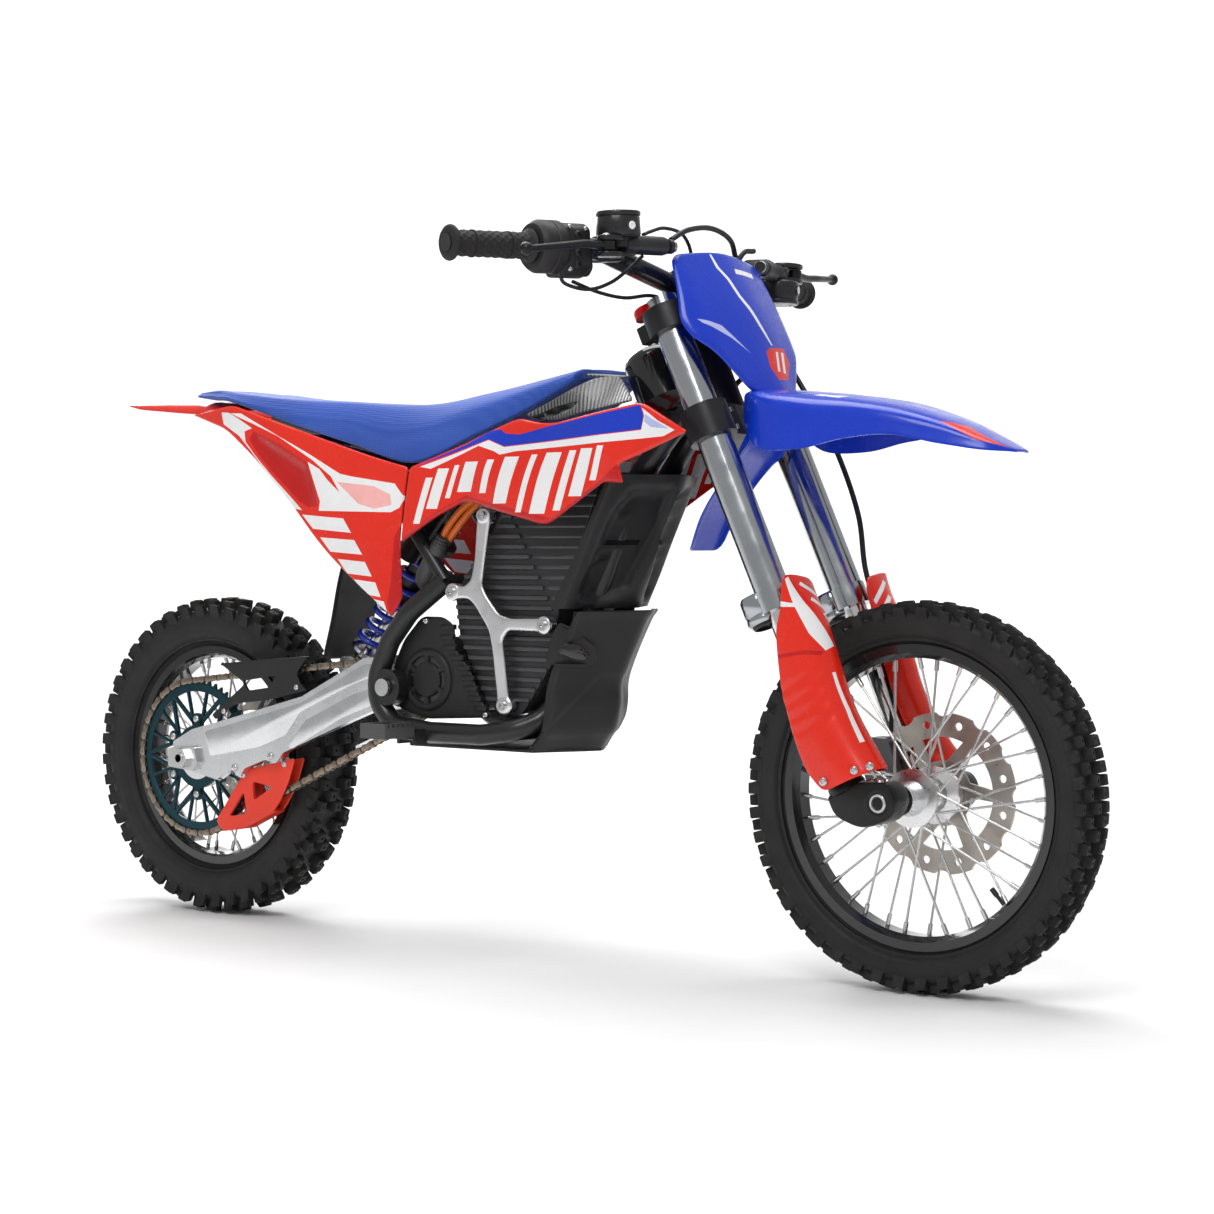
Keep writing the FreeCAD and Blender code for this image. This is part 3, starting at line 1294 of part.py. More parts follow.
def make_rear_caliper():
    y = dim("rear_disc_y")
    made = body("rear_caliper", "bike")
    sk = sketch(made, "XZ", -y - 13.0)
    outline(sk, [(18, 298), (36, 278), (78, 276), (96, 300), (84, 330), (40, 330)], 8.0)
    pad(made, sk, 26.0)
    slot = sketch(made, "XZ", -y)
    circle(slot, 0, dim("rear_axle_z"), dim("rear_disc_radius") + 3.0)
    pocket(made, slot, 7.0, midplane=True)
    keep("rear_caliper", made)


def make_shock():
    """Damper body hung from the frame, rod standing on the swingarm, and the coil between."""
    low = Vector(dim("shock_low_x"), 0, dim("shock_low_z"))
    top = Vector(dim("shock_top_x"), 0, dim("shock_top_z"))
    up = (top - low).normalize()
    length = (top - low).Length
    turn = Rotation(Vector(0, 0, 1), up)

    def along(shape):
        return shape.transformed(Placement(low, turn).toMatrix(), True)

    rod_radius, reach = dim("shock_rod_radius"), 130.0
    bore = dim("shock_pin_radius")
    body_low = 118.0
    damper = lathe([(rod_radius + 0.06, body_low), (17, body_low), (17, 225), (29, 227),
                    (29, 236), (19, 238), (19, length - 40), (14, length - 32),
                    (14, length - 12), (0, length - 12), (0, 300),
                    (rod_radius + 0.06, 300)])
    eye = rod(top + Vector(0, -15, 0), top + Vector(0, 15, 0), 15.0)
    pot = Part.makeCylinder(18, 96, Vector(0, 0, 0)).fuse(
        Part.makeBox(20, 26, 30, Vector(-10, 8, 66)))
    pot.translate(Vector(0, -46, 206))
    damper = along(damper.fuse(pot)).fuse(eye)
    damper = damper.cut(rod(top + Vector(0, -40, 0), top + Vector(0, 40, 0), bore))
    keep("shock_body", solid_feature("shock_body", damper))
    foot = lathe([(0, 12), (13, 12), (13, 24), (26, 29), (26, 34), (rod_radius, 36),
                  (rod_radius, reach + 70), (0, reach + 70)])
    lower_eye = rod(low + Vector(0, -13, 0), low + Vector(0, 13, 0), 15.0)
    shaft = along(foot).fuse(lower_eye)
    shaft = shaft.cut(rod(low + Vector(0, -40, 0), low + Vector(0, 40, 0),
                          bore + dim("shock_open_gap")))
    keep("shock_rod", solid_feature("shock_rod", shaft))
    wire, turns = dim("spring_wire"), 8
    first, last = 34.4 + wire, 224.6 - wire
    helix = Part.makeHelix((last - first) / turns, last - first, dim("spring_radius") - wire)
    start = Vector(dim("spring_radius") - wire, 0, 0)
    ring = Part.Wire(Part.Circle(start, Vector(0, 1, 0), wire).toShape())
    coil = Part.Wire(helix).makePipeShell([ring], True, True)
    coil = coil.transformed(Placement(low + up * first, turn).toMatrix(), True)
    keep("shock_spring", solid_feature("shock_spring", coil))
    pin = rod(top + Vector(0, -28, 0), top + Vector(0, 28, 0), bore - 0.05)
    return solid_feature("shock_bolt", pin)


# ---------------------------------------------------------------- foot pegs
PEG_PIN = Vector(476, -131, 294)


def make_pegs():
    """Toothed foot pegs that fold up about a pin along the bike."""
    plate = Part.makeBox(44, 59.5, 20, PEG_PIN + Vector(-22, -75, -2))
    plate = plate.cut(Part.makeBox(30, 42, 40, PEG_PIN + Vector(-15, -66, -10)))
    for index in range(6):
        notch = Part.makeBox(60, 5, 6, PEG_PIN + Vector(-30, -70.5 + index * 9.6, 12.5))
        plate = plate.cut(notch)
    neck = Part.makeBox(20, 18, 14, PEG_PIN + Vector(-10, -18, -6))
    knuckle = rod(PEG_PIN + Vector(-11, 0, 0), PEG_PIN + Vector(11, 0, 0), 8.0)
    peg = plate.multiFuse([neck, knuckle])
    peg = peg.cut(rod(PEG_PIN + Vector(-30, 0, 0), PEG_PIN + Vector(30, 0, 0), 4.05))
    keep("right_foot_peg", solid_feature("right_foot_peg", peg))
    keep("left_foot_peg", solid_feature("left_foot_peg", flipped(peg)))


def make_peg_pins():
    """Ears welded to the frame tube and the pins the pegs fold about."""
    front = Part.makeBox(5, 24, 20, PEG_PIN + Vector(11.5, -7, -13))
    rear = Part.makeBox(5, 24, 20, PEG_PIN + Vector(-16.5, -7, -13))
    pin = rod(PEG_PIN + Vector(-16.5, 0, 0), PEG_PIN + Vector(16.5, 0, 0), 4.0)
    return both(front.multiFuse([rear, pin]))


# ---------------------------------------------------------------- hoses and wires
HOSE_RADIUS, WIRE_RADIUS = 3.6, 2.4
FRONT_HOSE_TOP = [(884, -98, 934), (884, -60, 950), (880, -2, 958), (876, 48, 948),
                  (870, 76, 920)]
FRONT_HOSE_LEG = [(57, 92, 690), (57, 97, 620), (66, 100, 550), (76, 100, 470), (74, 96, 380),
                  (58, 90, 310), (53, 88, 250), (50, 80, 190), (36, 65, 130), (22, 60, 97)]
REAR_HOSE_TOP = [(880, 98, 938)]
REAR_HOSE_LEG = [(71, 66, 756), (50, 44, 722), (50, 38, 690), (52, 38, 646), (44, 44, 612),
                 (8, 46, 600), (-40, 46, 596)]
REAR_HOSE_END = [(640, 44, 716), (560, 46, 700)]
REAR_HOSE_LOW = [(470, 60, 470), (452, 62, 430), (425, 62, 402), (380, 62, 410),
                 (320, 60, 396), (220, 60, 346), (140, 62, 332), (94, 62, 322)]
WIRES = [[(845, -278, 880), (842, -262, 868), (848, -222, 864), (852, -181, 876),
          (858, -150, 896), (866, -134, 912)],
         [(841, -246, 872), (842, -195, 863), (844, -142, 860), (850, -96, 866),
          (856, -56, 862)],
         [(868, -136, 938), (868, -118, 944), (866, -88, 951), (864, -49, 949),
          (860, -24, 936), (858, -12, 914)]]


def make_hoses():
    front = [Vector(*p) for p in FRONT_HOSE_TOP] + [fork_point(*p) for p in FRONT_HOSE_LEG]
    keep("front_brake_hose", solid_feature("front_brake_hose", tube(front, HOSE_RADIUS)))
    rear = [Vector(*p) for p in REAR_HOSE_TOP] + [fork_point(*p) for p in REAR_HOSE_LEG]
    rear += [Vector(*p) for p in REAR_HOSE_END]
    keep("rear_brake_hose_front", solid_feature("rear_brake_hose_front", tube(rear, HOSE_RADIUS)))
    low = [Vector(*p) for p in REAR_HOSE_LOW]
    keep("rear_brake_hose_rear", solid_feature("rear_brake_hose_rear", tube(low, HOSE_RADIUS)))
    wires = [tube([Vector(*p) for p in route], WIRE_RADIUS) for route in WIRES]
    keep("control_wires", solid_feature("control_wires", Part.makeCompound(wires)))


# ---------------------------------------------------------------- build, check, export
def build():
    make_wheels()
    make_axles()
    make_clamps()
    make_fork_legs()
    make_fork_feet()
    make_fork_guards()
    make_front_caliper()
    make_handlebar()
    doc.recompute()
    make_grips()
    make_switchgear()
    make_brake_controls()
    make_number_plate()
    make_front_fender()
    make_frame()
    make_head_cowl()
    make_battery()
    bolts = [make_braces()]
    make_motor()
    make_belly_guard()
    make_side_covers()
    make_side_panels()
    make_shrouds()
    make_top_covers()
    make_tail()
    make_seat()
    make_chain()
    bolts.append(make_swingarm())
    make_chain_parts()
    make_rear_caliper()
    bolts.append(make_shock())
    keep("frame_bolts", group("frame_bolts", bolts))
    make_pegs()
    make_hoses()
    doc.recompute()


def check():
    """Every object must have computed, and every sub-part must be a valid shape."""
    bad = [o.Name + str(o.State) for o in doc.Objects if {"Invalid", "Error"} & set(o.State)]
    for name, feature in NODES.items():
        shape = feature.Shape
        if shape.isNull() or not shape.isValid() or shape.Volume <= 0 or not shape.Solids:
            bad.append(f"{name} has a bad shape")
    if bad:
        raise RuntimeError("; ".join(bad))


def export():
    os.makedirs("parts", exist_ok=True)
    for name, feature in NODES.items():
        feature.Shape.exportStep(os.path.join("parts", name + ".step"))
    print(len(NODES), "nodes written")


build()
check()
export()
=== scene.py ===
import json
import math

import bmesh
import bpy
import numpy as np
from mathutils import Matrix, Vector
from mathutils.geometry import delaunay_2d_cdt


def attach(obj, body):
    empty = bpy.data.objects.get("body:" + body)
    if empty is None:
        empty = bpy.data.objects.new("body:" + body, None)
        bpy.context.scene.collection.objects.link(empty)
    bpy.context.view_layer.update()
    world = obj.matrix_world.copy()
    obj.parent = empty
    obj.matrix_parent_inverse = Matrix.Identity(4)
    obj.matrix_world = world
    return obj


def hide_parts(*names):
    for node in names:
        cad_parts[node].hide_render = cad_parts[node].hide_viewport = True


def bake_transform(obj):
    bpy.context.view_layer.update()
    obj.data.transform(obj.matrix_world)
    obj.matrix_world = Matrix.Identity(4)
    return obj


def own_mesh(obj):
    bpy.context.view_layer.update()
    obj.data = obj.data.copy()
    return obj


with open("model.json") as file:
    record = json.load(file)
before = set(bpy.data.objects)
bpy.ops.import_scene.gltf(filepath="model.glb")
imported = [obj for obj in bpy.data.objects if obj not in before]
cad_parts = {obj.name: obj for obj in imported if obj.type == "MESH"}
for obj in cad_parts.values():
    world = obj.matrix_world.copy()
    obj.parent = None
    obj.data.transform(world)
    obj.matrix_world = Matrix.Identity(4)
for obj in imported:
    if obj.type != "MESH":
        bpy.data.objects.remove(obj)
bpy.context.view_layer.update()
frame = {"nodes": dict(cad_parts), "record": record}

NODES = frame["nodes"]

# ---------------------------------------------------------------- frames of reference
REAR_AXLE_X = -0.59925
FRONT_AXLE = Vector((0.59375, 0.0, 0.241))
REAR_AXLE = Vector((REAR_AXLE_X, 0.0, 0.2355))
RAKE = math.radians(24.6)
FORK_LEAD = 0.0658
LEG_OUT = 87
FORK_AHEAD = Vector((math.cos(RAKE), 0.0, math.sin(RAKE)))
FORK_UP = Vector((-math.sin(RAKE), 0.0, math.cos(RAKE)))
FORK_ORIGIN = FRONT_AXLE - FORK_AHEAD * FORK_LEAD


def bike(x, y, z):
    """Millimetres from the ground under the rear axle to the shared frame in metres."""
    return Vector((x / 1000 + REAR_AXLE_X, y / 1000, z / 1000))


def fork(ahead, left, up):
    """Millimetres ahead, left and up along the fork to the shared frame in metres."""
    return FORK_ORIGIN + FORK_AHEAD * (ahead / 1000) + FORK_UP * (up / 1000) + Vector(
        (0, left / 1000, 0))


def grip_matrix(left):
    """Frame of one handlebar end: Z runs outward along the bar, X is forward."""
    side = 1 if left else -1
    bend, end = bike(832, side * 185, 918), bike(766, side * 398, 911)
    along = (end - bend).normalized()
    ahead = Vector((1, 0, 0))
    ahead = (ahead - along * ahead.dot(along)).normalized()
    up = Vector((0, 0, 1))
    up = (up - along * up.dot(along) - ahead * up.dot(ahead)).normalized()
    turn = Matrix((ahead, up, along)).transposed().to_4x4()
    return Matrix.Translation(bend) @ turn


GRIPS = {left: grip_matrix(left) for left in (False, True)}


def grip(left, x, y, z):
    """Millimetres of a grip frame (forward, up, outward) to the shared frame in metres."""
    return GRIPS[left] @ Vector((x / 1000, y / 1000, z / 1000))


def flank(x, z, y):
    """A point of an outline drawn on the bike's side, y to the left."""
    return bike(x, y, z)


def right_flank(x, z, y):
    """The same with y to the right."""
    return bike(x, -y, z)


def bike_rows(x, y, z):
    """Arrays of millimetres to rows of metres in the shared frame."""
    return np.stack([x / 1000 + REAR_AXLE_X, y / 1000, z / 1000], 1)


def fork_rows(ahead, left, up):
    """Arrays of millimetres along the fork to rows of metres in the shared frame."""
    return (np.array(FORK_ORIGIN)[None] + np.outer(ahead / 1000, FORK_AHEAD)
            + np.outer(up / 1000, FORK_UP) + np.outer(left / 1000, (0, 1, 0)))


def facing(place, axis):
    """Matrix whose Z looks along an axis from a place."""
    return Matrix.Translation(place) @ Vector(axis).to_track_quat("Z", "Y").to_matrix().to_4x4()


# ---------------------------------------------------------------- materials
MATERIALS = {}
FINE_RELIEF = 0.0006


def new_material(name):
    made = MATERIALS[name] = bpy.data.materials.new(name)
    made.use_nodes = True
    tree = made.node_tree
    return tree, tree.nodes["Principled BSDF"]


def add_node(tree, kind, inputs, **settings):
    """A shader node; inputs maps its sockets to plain values or other nodes' outputs."""
    made = tree.nodes.new("ShaderNode" + kind)
    for key, value in settings.items():
        setattr(made, key, value)
    for key, value in inputs.items():
        if isinstance(value, bpy.types.NodeSocket):
            tree.links.new(value, made.inputs[key])
        else:
            made.inputs[key].default_value = value
    return made


def object_coords(tree):
    return add_node(tree, "TexCoord", {}).outputs["Object"]


def noise(tree, coords, scale, detail=4.0, rough=0.55):
    inputs = {"Vector": coords, "Scale": scale, "Detail": detail, "Roughness": rough}
    return add_node(tree, "TexNoise", inputs).outputs["Fac"]


def remap(tree, value, low, high, to_low, to_high):
    inputs = {"Value": value, "From Min": low, "From Max": high, "To Min": to_low,
              "To Max": to_high}
    return add_node(tree, "MapRange", inputs).outputs[0]


def mix_colour(tree, factor, a, b):
    """Blend from a to b; each is a colour or a node's output."""
    a, b = ((*c, 1.0) if isinstance(c, tuple) else c for c in (a, b))
    return add_node(tree, "Mix", {"Factor": factor, 6: a, 7: b}, data_type="RGBA").outputs[2]


def add_relief(tree, shader, height, strength, distance=FINE_RELIEF):
    """Bump on a shader from a height in the range 0 to 1; distance in metres."""
    inputs = {"Strength": strength, "Distance": distance, "Height": height}
    tree.links.new(add_node(tree, "Bump", inputs).outputs[0], shader.inputs["Normal"])


def surface(name, colour, rough=0.5, metal=0.0, coat=0.0, vary=0.06, vary_scale=9.0,
            bump=0.0, bump_scale=400.0, stretch=(1, 1, 1), spec=0.36, rough_vary=0.08,
            wear_and_highlight=None):
    """A general material: colour drift, roughness drift and fine relief, all procedural."""
    tree, shader = new_material(name)
    coords = object_coords(tree)
    drift = noise(tree, coords, vary_scale, 3.0)
    darker = tuple(c * (1 - vary) for c in colour)
    lighter = tuple(min(1.0, c * (1 + vary) + vary * 0.02) for c in colour)
    tone = mix_colour(tree, remap(tree, drift, 0.35, 0.65, 0, 1), darker, lighter)
    # lighter noise spots mixed into the colour: real scuffs on most finishes, painted highlights on
    # the battery fins
    if wear_and_highlight:
        scuff_and_highlight_mask = noise(tree, coords, 60.0, 8.0, 0.7)
        tone = mix_colour(tree, remap(tree, scuff_and_highlight_mask, 0.62, 0.74, 0, 0.7), tone, wear_and_highlight)
    tree.links.new(tone, shader.inputs["Base Color"])
    gloss = noise(tree, coords, vary_scale * 4, 5.0)
    tree.links.new(remap(tree, gloss, 0.3, 0.7, max(0.03, rough - rough_vary),
                         min(1.0, rough + rough_vary)), shader.inputs["Roughness"])
    shader.inputs["Metallic"].default_value = metal
    shader.inputs["Specular IOR Level"].default_value = spec
    if coat:
        shader.inputs["Coat Weight"].default_value = coat
        shader.inputs["Coat Roughness"].default_value = 0.06
    if bump:
        stretched = add_node(tree, "Mapping", {"Scale": stretch, "Vector": coords})
        add_relief(tree, shader, noise(tree, stretched.outputs[0], bump_scale, 6.0), bump)


def woven(name):
    """Glossy black with fine slanted light bands, like a woven laminate."""
    tree, shader = new_material(name)
    coords = object_coords(tree)
    slant = add_node(tree, "Mapping", {"Rotation": (0.0, 0.55, 0.0), "Vector": coords})
    bands = add_node(tree, "TexWave",
                     {"Scale": 62.0, "Distortion": 0.6, "Vector": slant.outputs[0]})
    tone = mix_colour(tree, remap(tree, bands.outputs["Fac"], 0.30, 0.80, 0, 1),
                      (0.010, 0.010, 0.011), (0.13, 0.13, 0.135))
    tree.links.new(tone, shader.inputs["Base Color"])
    drift = noise(tree, coords, 30.0, 4.0)
    tree.links.new(remap(tree, drift, 0.3, 0.7, 0.24, 0.36), shader.inputs["Roughness"])
    add_relief(tree, shader, bands.outputs["Fac"], 0.35)


def seat_material(name):
    """Dull blue cover with a fine pattern of raised dots."""
    tree, shader = new_material(name)
    coords = object_coords(tree)
    drift = noise(tree, coords, 7.0, 4.0)
    tone = mix_colour(tree, remap(tree, drift, 0.3, 0.7, 0, 1), (0.012, 0.060, 0.36),
                      (0.018, 0.080, 0.44))
    dots = add_node(tree, "TexVoronoi", {"Scale": 330.0, "Randomness": 0.12, "Vector": coords})
    grain = remap(tree, dots.outputs["Distance"], 0.15, 0.55, 1.0, 0.0)
    faint = add_node(tree, "Math", {0: grain, 1: 0.35}, operation="MULTIPLY").outputs[0]
    tone = mix_colour(tree, faint, tone, (0.06, 0.17, 0.62))
    tree.links.new(tone, shader.inputs["Base Color"])
    tree.links.new(remap(tree, drift, 0.3, 0.7, 0.62, 0.74), shader.inputs["Roughness"])
    shader.inputs["Specular IOR Level"].default_value = 0.35
    shader.inputs["Sheen Weight"].default_value = 0.25
    add_relief(tree, shader, grain, 0.55, 0.0008)


RED = (0.76, 0.020, 0.006)
BLUE = (0.003, 0.036, 0.50)
surface("frame_black", (0.012, 0.012, 0.013), 0.38, coat=0.2, bump=0.10, bump_scale=900,
        wear_and_highlight=(0.03, 0.03, 0.03))
surface("battery_cast", (0.022, 0.022, 0.024), 0.42, bump=0.35, bump_scale=1300)
surface("brace_silver", (0.72, 0.72, 0.73), 0.30, metal=1.0, bump=0.12, bump_scale=900)
surface("bolt_steel", (0.60, 0.60, 0.60), 0.24, metal=1.0, bump=0.05)
surface("black_plastic", (0.014, 0.014, 0.015), 0.50, bump=0.25, bump_scale=1500)
surface("gloss_black", (0.010, 0.010, 0.012), 0.10, coat=0.8, bump=0.02)
woven("patterned_black")
surface("red_plastic", RED, 0.26, coat=0.22, vary=0.03, bump=0.015)
surface("blue_plastic", BLUE, 0.26, coat=0.22, vary=0.03, bump=0.015)
surface("seat_vinyl", (0.010, 0.040, 0.30), 0.55, bump=0.3)
surface("polished_aluminium", (0.66, 0.67, 0.68), 0.27, metal=1.0, bump=0.10, bump_scale=250,
        stretch=(0.15, 1, 3))
surface("caliper_grey", (0.10, 0.10, 0.105), 0.38, metal=0.6, bump=0.2, bump_scale=900)
surface("chain_steel", (0.27, 0.22, 0.17), 0.36, metal=1.0, vary=0.2, vary_scale=60)
surface("hose_rubber", (0.012, 0.012, 0.012), 0.42, bump=0.15)
surface("tyre_rubber", (0.011, 0.011, 0.0115), 0.60, bump=0.45, bump_scale=700, vary=0.15,
        vary_scale=25)
surface("rim_black", (0.010, 0.010, 0.011), 0.16, coat=0.6, bump=0.02)
surface("sprocket_teal", (0.012, 0.045, 0.058), 0.36, metal=0.75, bump=0.06)
surface("disc_steel", (0.44, 0.40, 0.36), 0.34, metal=1.0, bump=0.25, bump_scale=600, vary=0.12,
        vary_scale=30)
surface("hub_silver", (0.78, 0.78, 0.79), 0.26, metal=1.0, bump=0.06)
surface("damper_dark", (0.02, 0.02, 0.022), 0.30, metal=0.4)
surface("damper_orange", (0.75, 0.20, 0.03), 0.3, metal=0.6)
surface("spring_blue", (0.010, 0.035, 0.42), 0.2, coat=0.6)
surface("clamp_grey", (0.018, 0.018, 0.020), 0.36, metal=0.3, bump=0.12, bump_scale=800)
surface("fork_silver", (0.46, 0.48, 0.50), 0.17, metal=1.0, bump=0.04, bump_scale=200,
        stretch=(1, 1, 0.1))
surface("fork_chrome", (0.80, 0.80, 0.80), 0.08, metal=1.0)
surface("bar_black", (0.012, 0.012, 0.013), 0.30, coat=0.3, bump=0.06)
surface("grip_rubber", (0.016, 0.016, 0.016), 0.66, bump=0.4, bump_scale=900)
surface("lever_black", (0.02, 0.02, 0.021), 0.32, metal=0.5, bump=0.1)
surface("button_red", (0.5, 0.02, 0.015), 0.3, coat=0.3)
surface("peg_steel", (0.10, 0.10, 0.10), 0.45, metal=0.6, bump=0.3)
surface("white_paint", (0.84, 0.84, 0.84), 0.26, coat=0.22, vary=0.02, bump=0.015)
surface("deep_red", (0.52, 0.004, 0.004), 0.30, coat=0.2, vary=0.05, bump=0.02)
surface("pink_gloss", (0.84, 0.42, 0.40), 0.26, coat=0.2, vary=0.10)
surface("pale_blue", (0.46, 0.50, 0.80), 0.24, coat=0.5, vary=0.05)
surface("knob_rubber", (0.013, 0.013, 0.0125), 0.72, bump=0.6, bump_scale=500, vary=0.25,
        vary_scale=50)
surface("wire_orange", (0.85, 0.18, 0.02), 0.35, coat=0.3)
# the fins are a lighter grey of their own, lifted a little further, with lighter spots mixed in;
# the lift and the spots are painted highlights standing in for the lit fin edges
surface("battery_fins", (0.075, 0.075, 0.078), 0.34, bump=0.35, bump_scale=1100, metal=0.5,
        wear_and_highlight=(0.12, 0.12, 0.12))
# painted shade: near-black for the deep floor of the side-cover pockets
surface("pocket_painted_shade", (0.006, 0.006, 0.0065), 0.45, bump=0.2, bump_scale=900)
surface("chain_dark", (0.16, 0.13, 0.10), 0.42, metal=1.0, vary=0.25, vary_scale=80)
surface("guide_red", (0.80, 0.045, 0.020), 0.42, vary=0.05, bump=0.1, bump_scale=1200)
surface("plug_grey", (0.07, 0.07, 0.072), 0.5, bump=0.2, bump_scale=1100)
surface("master_black", (0.035, 0.035, 0.037), 0.30, metal=0.5, bump=0.12, bump_scale=900,
        wear_and_highlight=(0.08, 0.08, 0.08))
surface("cap_red", (0.62, 0.012, 0.010), 0.25, metal=0.7)
surface("foot_black", (0.014, 0.014, 0.015), 0.34, metal=0.3, bump=0.14, bump_scale=700,
        wear_and_highlight=(0.05, 0.05, 0.05))
seat_material("seat_grip")
SLOT_OF = {row["node"]: row["material_slot"] for row in frame["record"]["subparts"]}


# nodes that look different from the slot in their record row
SHOWN_AS = {"fork_feet": "clamp_grey", "shock_body": "damper_dark"}
for node_name, node in NODES.items():
    finish = MATERIALS[SHOWN_AS.get(node_name, SLOT_OF[node_name])]
    if not node.material_slots:
        node.data.materials.append(finish)
    for index in range(len(node.material_slots)):
        node.material_slots[index].material = finish


# ---------------------------------------------------------------- mesh helpers
def spline(points, steps):
    """Catmull-Rom curve through rows of numbers; steps points per stretch."""
    rows = np.array(points, float)
    ends = np.vstack([2 * rows[0] - rows[1], rows, 2 * rows[-1] - rows[-2]])
    made = []
    for i in range(1, len(ends) - 2):
        a, b, c, d = ends[i - 1:i + 3]
        for t in np.linspace(0, 1, steps, endpoint=False):
            made.append(0.5 * (2 * b + (c - a) * t + (2 * a - 5 * b + 4 * c - d) * t * t
                               + (3 * b - a - 3 * c + d) * t ** 3))
    made.append(rows[-1])
    return np.array(made)


def piece(name, verts, faces, finish, body, replaces=(), tint=None, modifiers=(),
          sharp=42, slot=None, free=False):
    """Turn lists of points (metres) and faces into one finished object on a body.

    sharp is the angle in degrees above which an edge is drawn sharp; a free piece is attached to no
    body.
    """
    finishes = [finish] if isinstance(finish, str) else list(finish)
    mesh = bpy.data.meshes.new(name)
    mesh.from_pydata([tuple(v) for v in verts], [], [tuple(f) for f in faces])
    for key in finishes:
        mesh.materials.append(MATERIALS[key])
    if tint is not None:
        mesh.polygons.foreach_set("material_index", np.array(tint, np.int32))
    mesh.update()
    obj = bpy.data.objects.new(name, mesh)
    bpy.context.scene.collection.objects.link(obj)
    for kind, settings in modifiers:
        modifier = obj.modifiers.new(kind, kind)
        for key, value in settings.items():
            setattr(modifier, key, value)
    if modifiers:
        bpy.context.view_layer.update()
        graph = bpy.context.evaluated_depsgraph_get()
        final = bpy.data.meshes.new_from_object(obj.evaluated_get(graph))
        obj.modifiers.clear()
        obj.data = final
        final.name = name
    bm = bmesh.new()
    bm.from_mesh(obj.data)
    bmesh.ops.recalc_face_normals(bm, faces=bm.faces)
    bm.to_mesh(obj.data)
    bm.free()
    obj.data.shade_smooth()
    obj.data.set_sharp_from_angle(angle=math.radians(sharp))
    if not free:
        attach(obj, body)
    if replaces:
        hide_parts(*replaces)
    slot or (SLOT_OF[replaces[0]] if replaces else finishes[0])
    return obj


CORNERS = ((-1, -1), (1, -1), (1, 1), (-1, 1))


def loft_faces(rings, sides):
    """Faces between equal closed rings of points, with a cap on both ends."""
    faces = []
    for k in range(rings - 1):
        for i in range(sides):
            j = (i + 1) % sides
            faces.append((k * sides + i, k * sides + j, (k + 1) * sides + j,
                          (k + 1) * sides + i))
    faces.append(tuple(reversed(range(sides))))
    faces.append(tuple((rings - 1) * sides + i for i in range(sides)))
    return faces


class Shape:
    """Collects several closed bits of geometry into one object."""

    def __init__(self):
        self.verts, self.faces, self.tint = [], [], []

    def add(self, verts, faces, tint=0):
        start = len(self.verts)
        self.verts += [tuple(v) for v in verts]
        self.faces += [tuple(i + start for i in f) for f in faces]
        self.tint += list(tint) if isinstance(tint, (list, np.ndarray)) else [tint] * len(faces)

    def prism(self, *where, tint=0):
        self.add(*prism(*where), tint)

    def lathe(self, *where, tint=0, closed=False):
        self.add(*lathe(*where, closed=closed), tint)

    def sweep(self, *where, tint=0):
        self.add(*sweep(*where), tint)

    def mirrored(self):
        """The same again on the other side of the bike."""
        start = len(self.verts)
        self.verts += [(x, -y, z) for x, y, z in self.verts[:start]]
        self.faces += [tuple(i + start for i in reversed(f)) for f in list(self.faces)]
        self.tint += list(self.tint)
        return self

    def piece(self, name, finish, body, **more):
        return piece(name, self.verts, self.faces, finish, body, tint=self.tint, **more)


def inside(points, polygon):
    """Which 2-D points lie in a polygon."""
    x, y = points[:, 0], points[:, 1]
    found = np.zeros(len(points), bool)
    ring = np.array(polygon, float)
    for (x0, y0), (x1, y1) in zip(ring, np.roll(ring, -1, 0)):
        if y0 == y1:
            continue
        crosses = (y0 > y) != (y1 > y)
        found ^= crosses & (x < (x1 - x0) * (y - y0) / (y1 - y0) + x0)
    return found


def edge_distance(points, polygon):
    """Distance of 2-D points from the nearest edge of a polygon."""
    ring = np.array(polygon, float)
    best = np.full(len(points), 1e9)
    for a, b in zip(ring, np.roll(ring, -1, 0)):
        d = b - a
        size = float(d @ d)
        if size == 0:
            continue
        t = np.clip(((points - a) @ d) / size, 0, 1)
        best = np.minimum(best, np.linalg.norm(points - (a + t[:, None] * d), axis=1))
    return best


def arc_lengths(path):
    """Distance along a path at each of its rows."""
    return np.concatenate([[0], np.cumsum(np.linalg.norm(np.diff(path, axis=0), axis=1))])


def densify(polygon, spacing):
    """The same outline with points at most a spacing apart."""
    ring = np.array(polygon, float)
    made = []
    for a, b in zip(ring, np.roll(ring, -1, 0)):
        count = max(1, int(np.ceil(np.linalg.norm(b - a) / spacing)))
        made += [a + (b - a) * i / count for i in range(count)]
    return np.array(made)


def rounded(polygon, radius, steps=4):
    """Round every corner; radius may be one number or one per corner."""
    ring = np.array(polygon, float)
    radii = radius if isinstance(radius, (list, tuple)) else [radius] * len(ring)
    made = []
    for i, corner in enumerate(ring):
        before, after = ring[i - 1], ring[(i + 1) % len(ring)]
        back, ahead = before - corner, after - corner
        room = min(np.linalg.norm(back), np.linalg.norm(ahead)) * 0.45
        cut = min(radii[i], room)
        start = corner + back / np.linalg.norm(back) * cut
        end = corner + ahead / np.linalg.norm(ahead) * cut
        for t in np.linspace(0, 1, steps + 1):
            made.append((1 - t) ** 2 * start + 2 * t * (1 - t) * corner + t * t * end)
    return np.array(made)


ROW_STEP = 0.866
ROLL_SHARES = (0.12, 0.32, 0.62, 1.0)


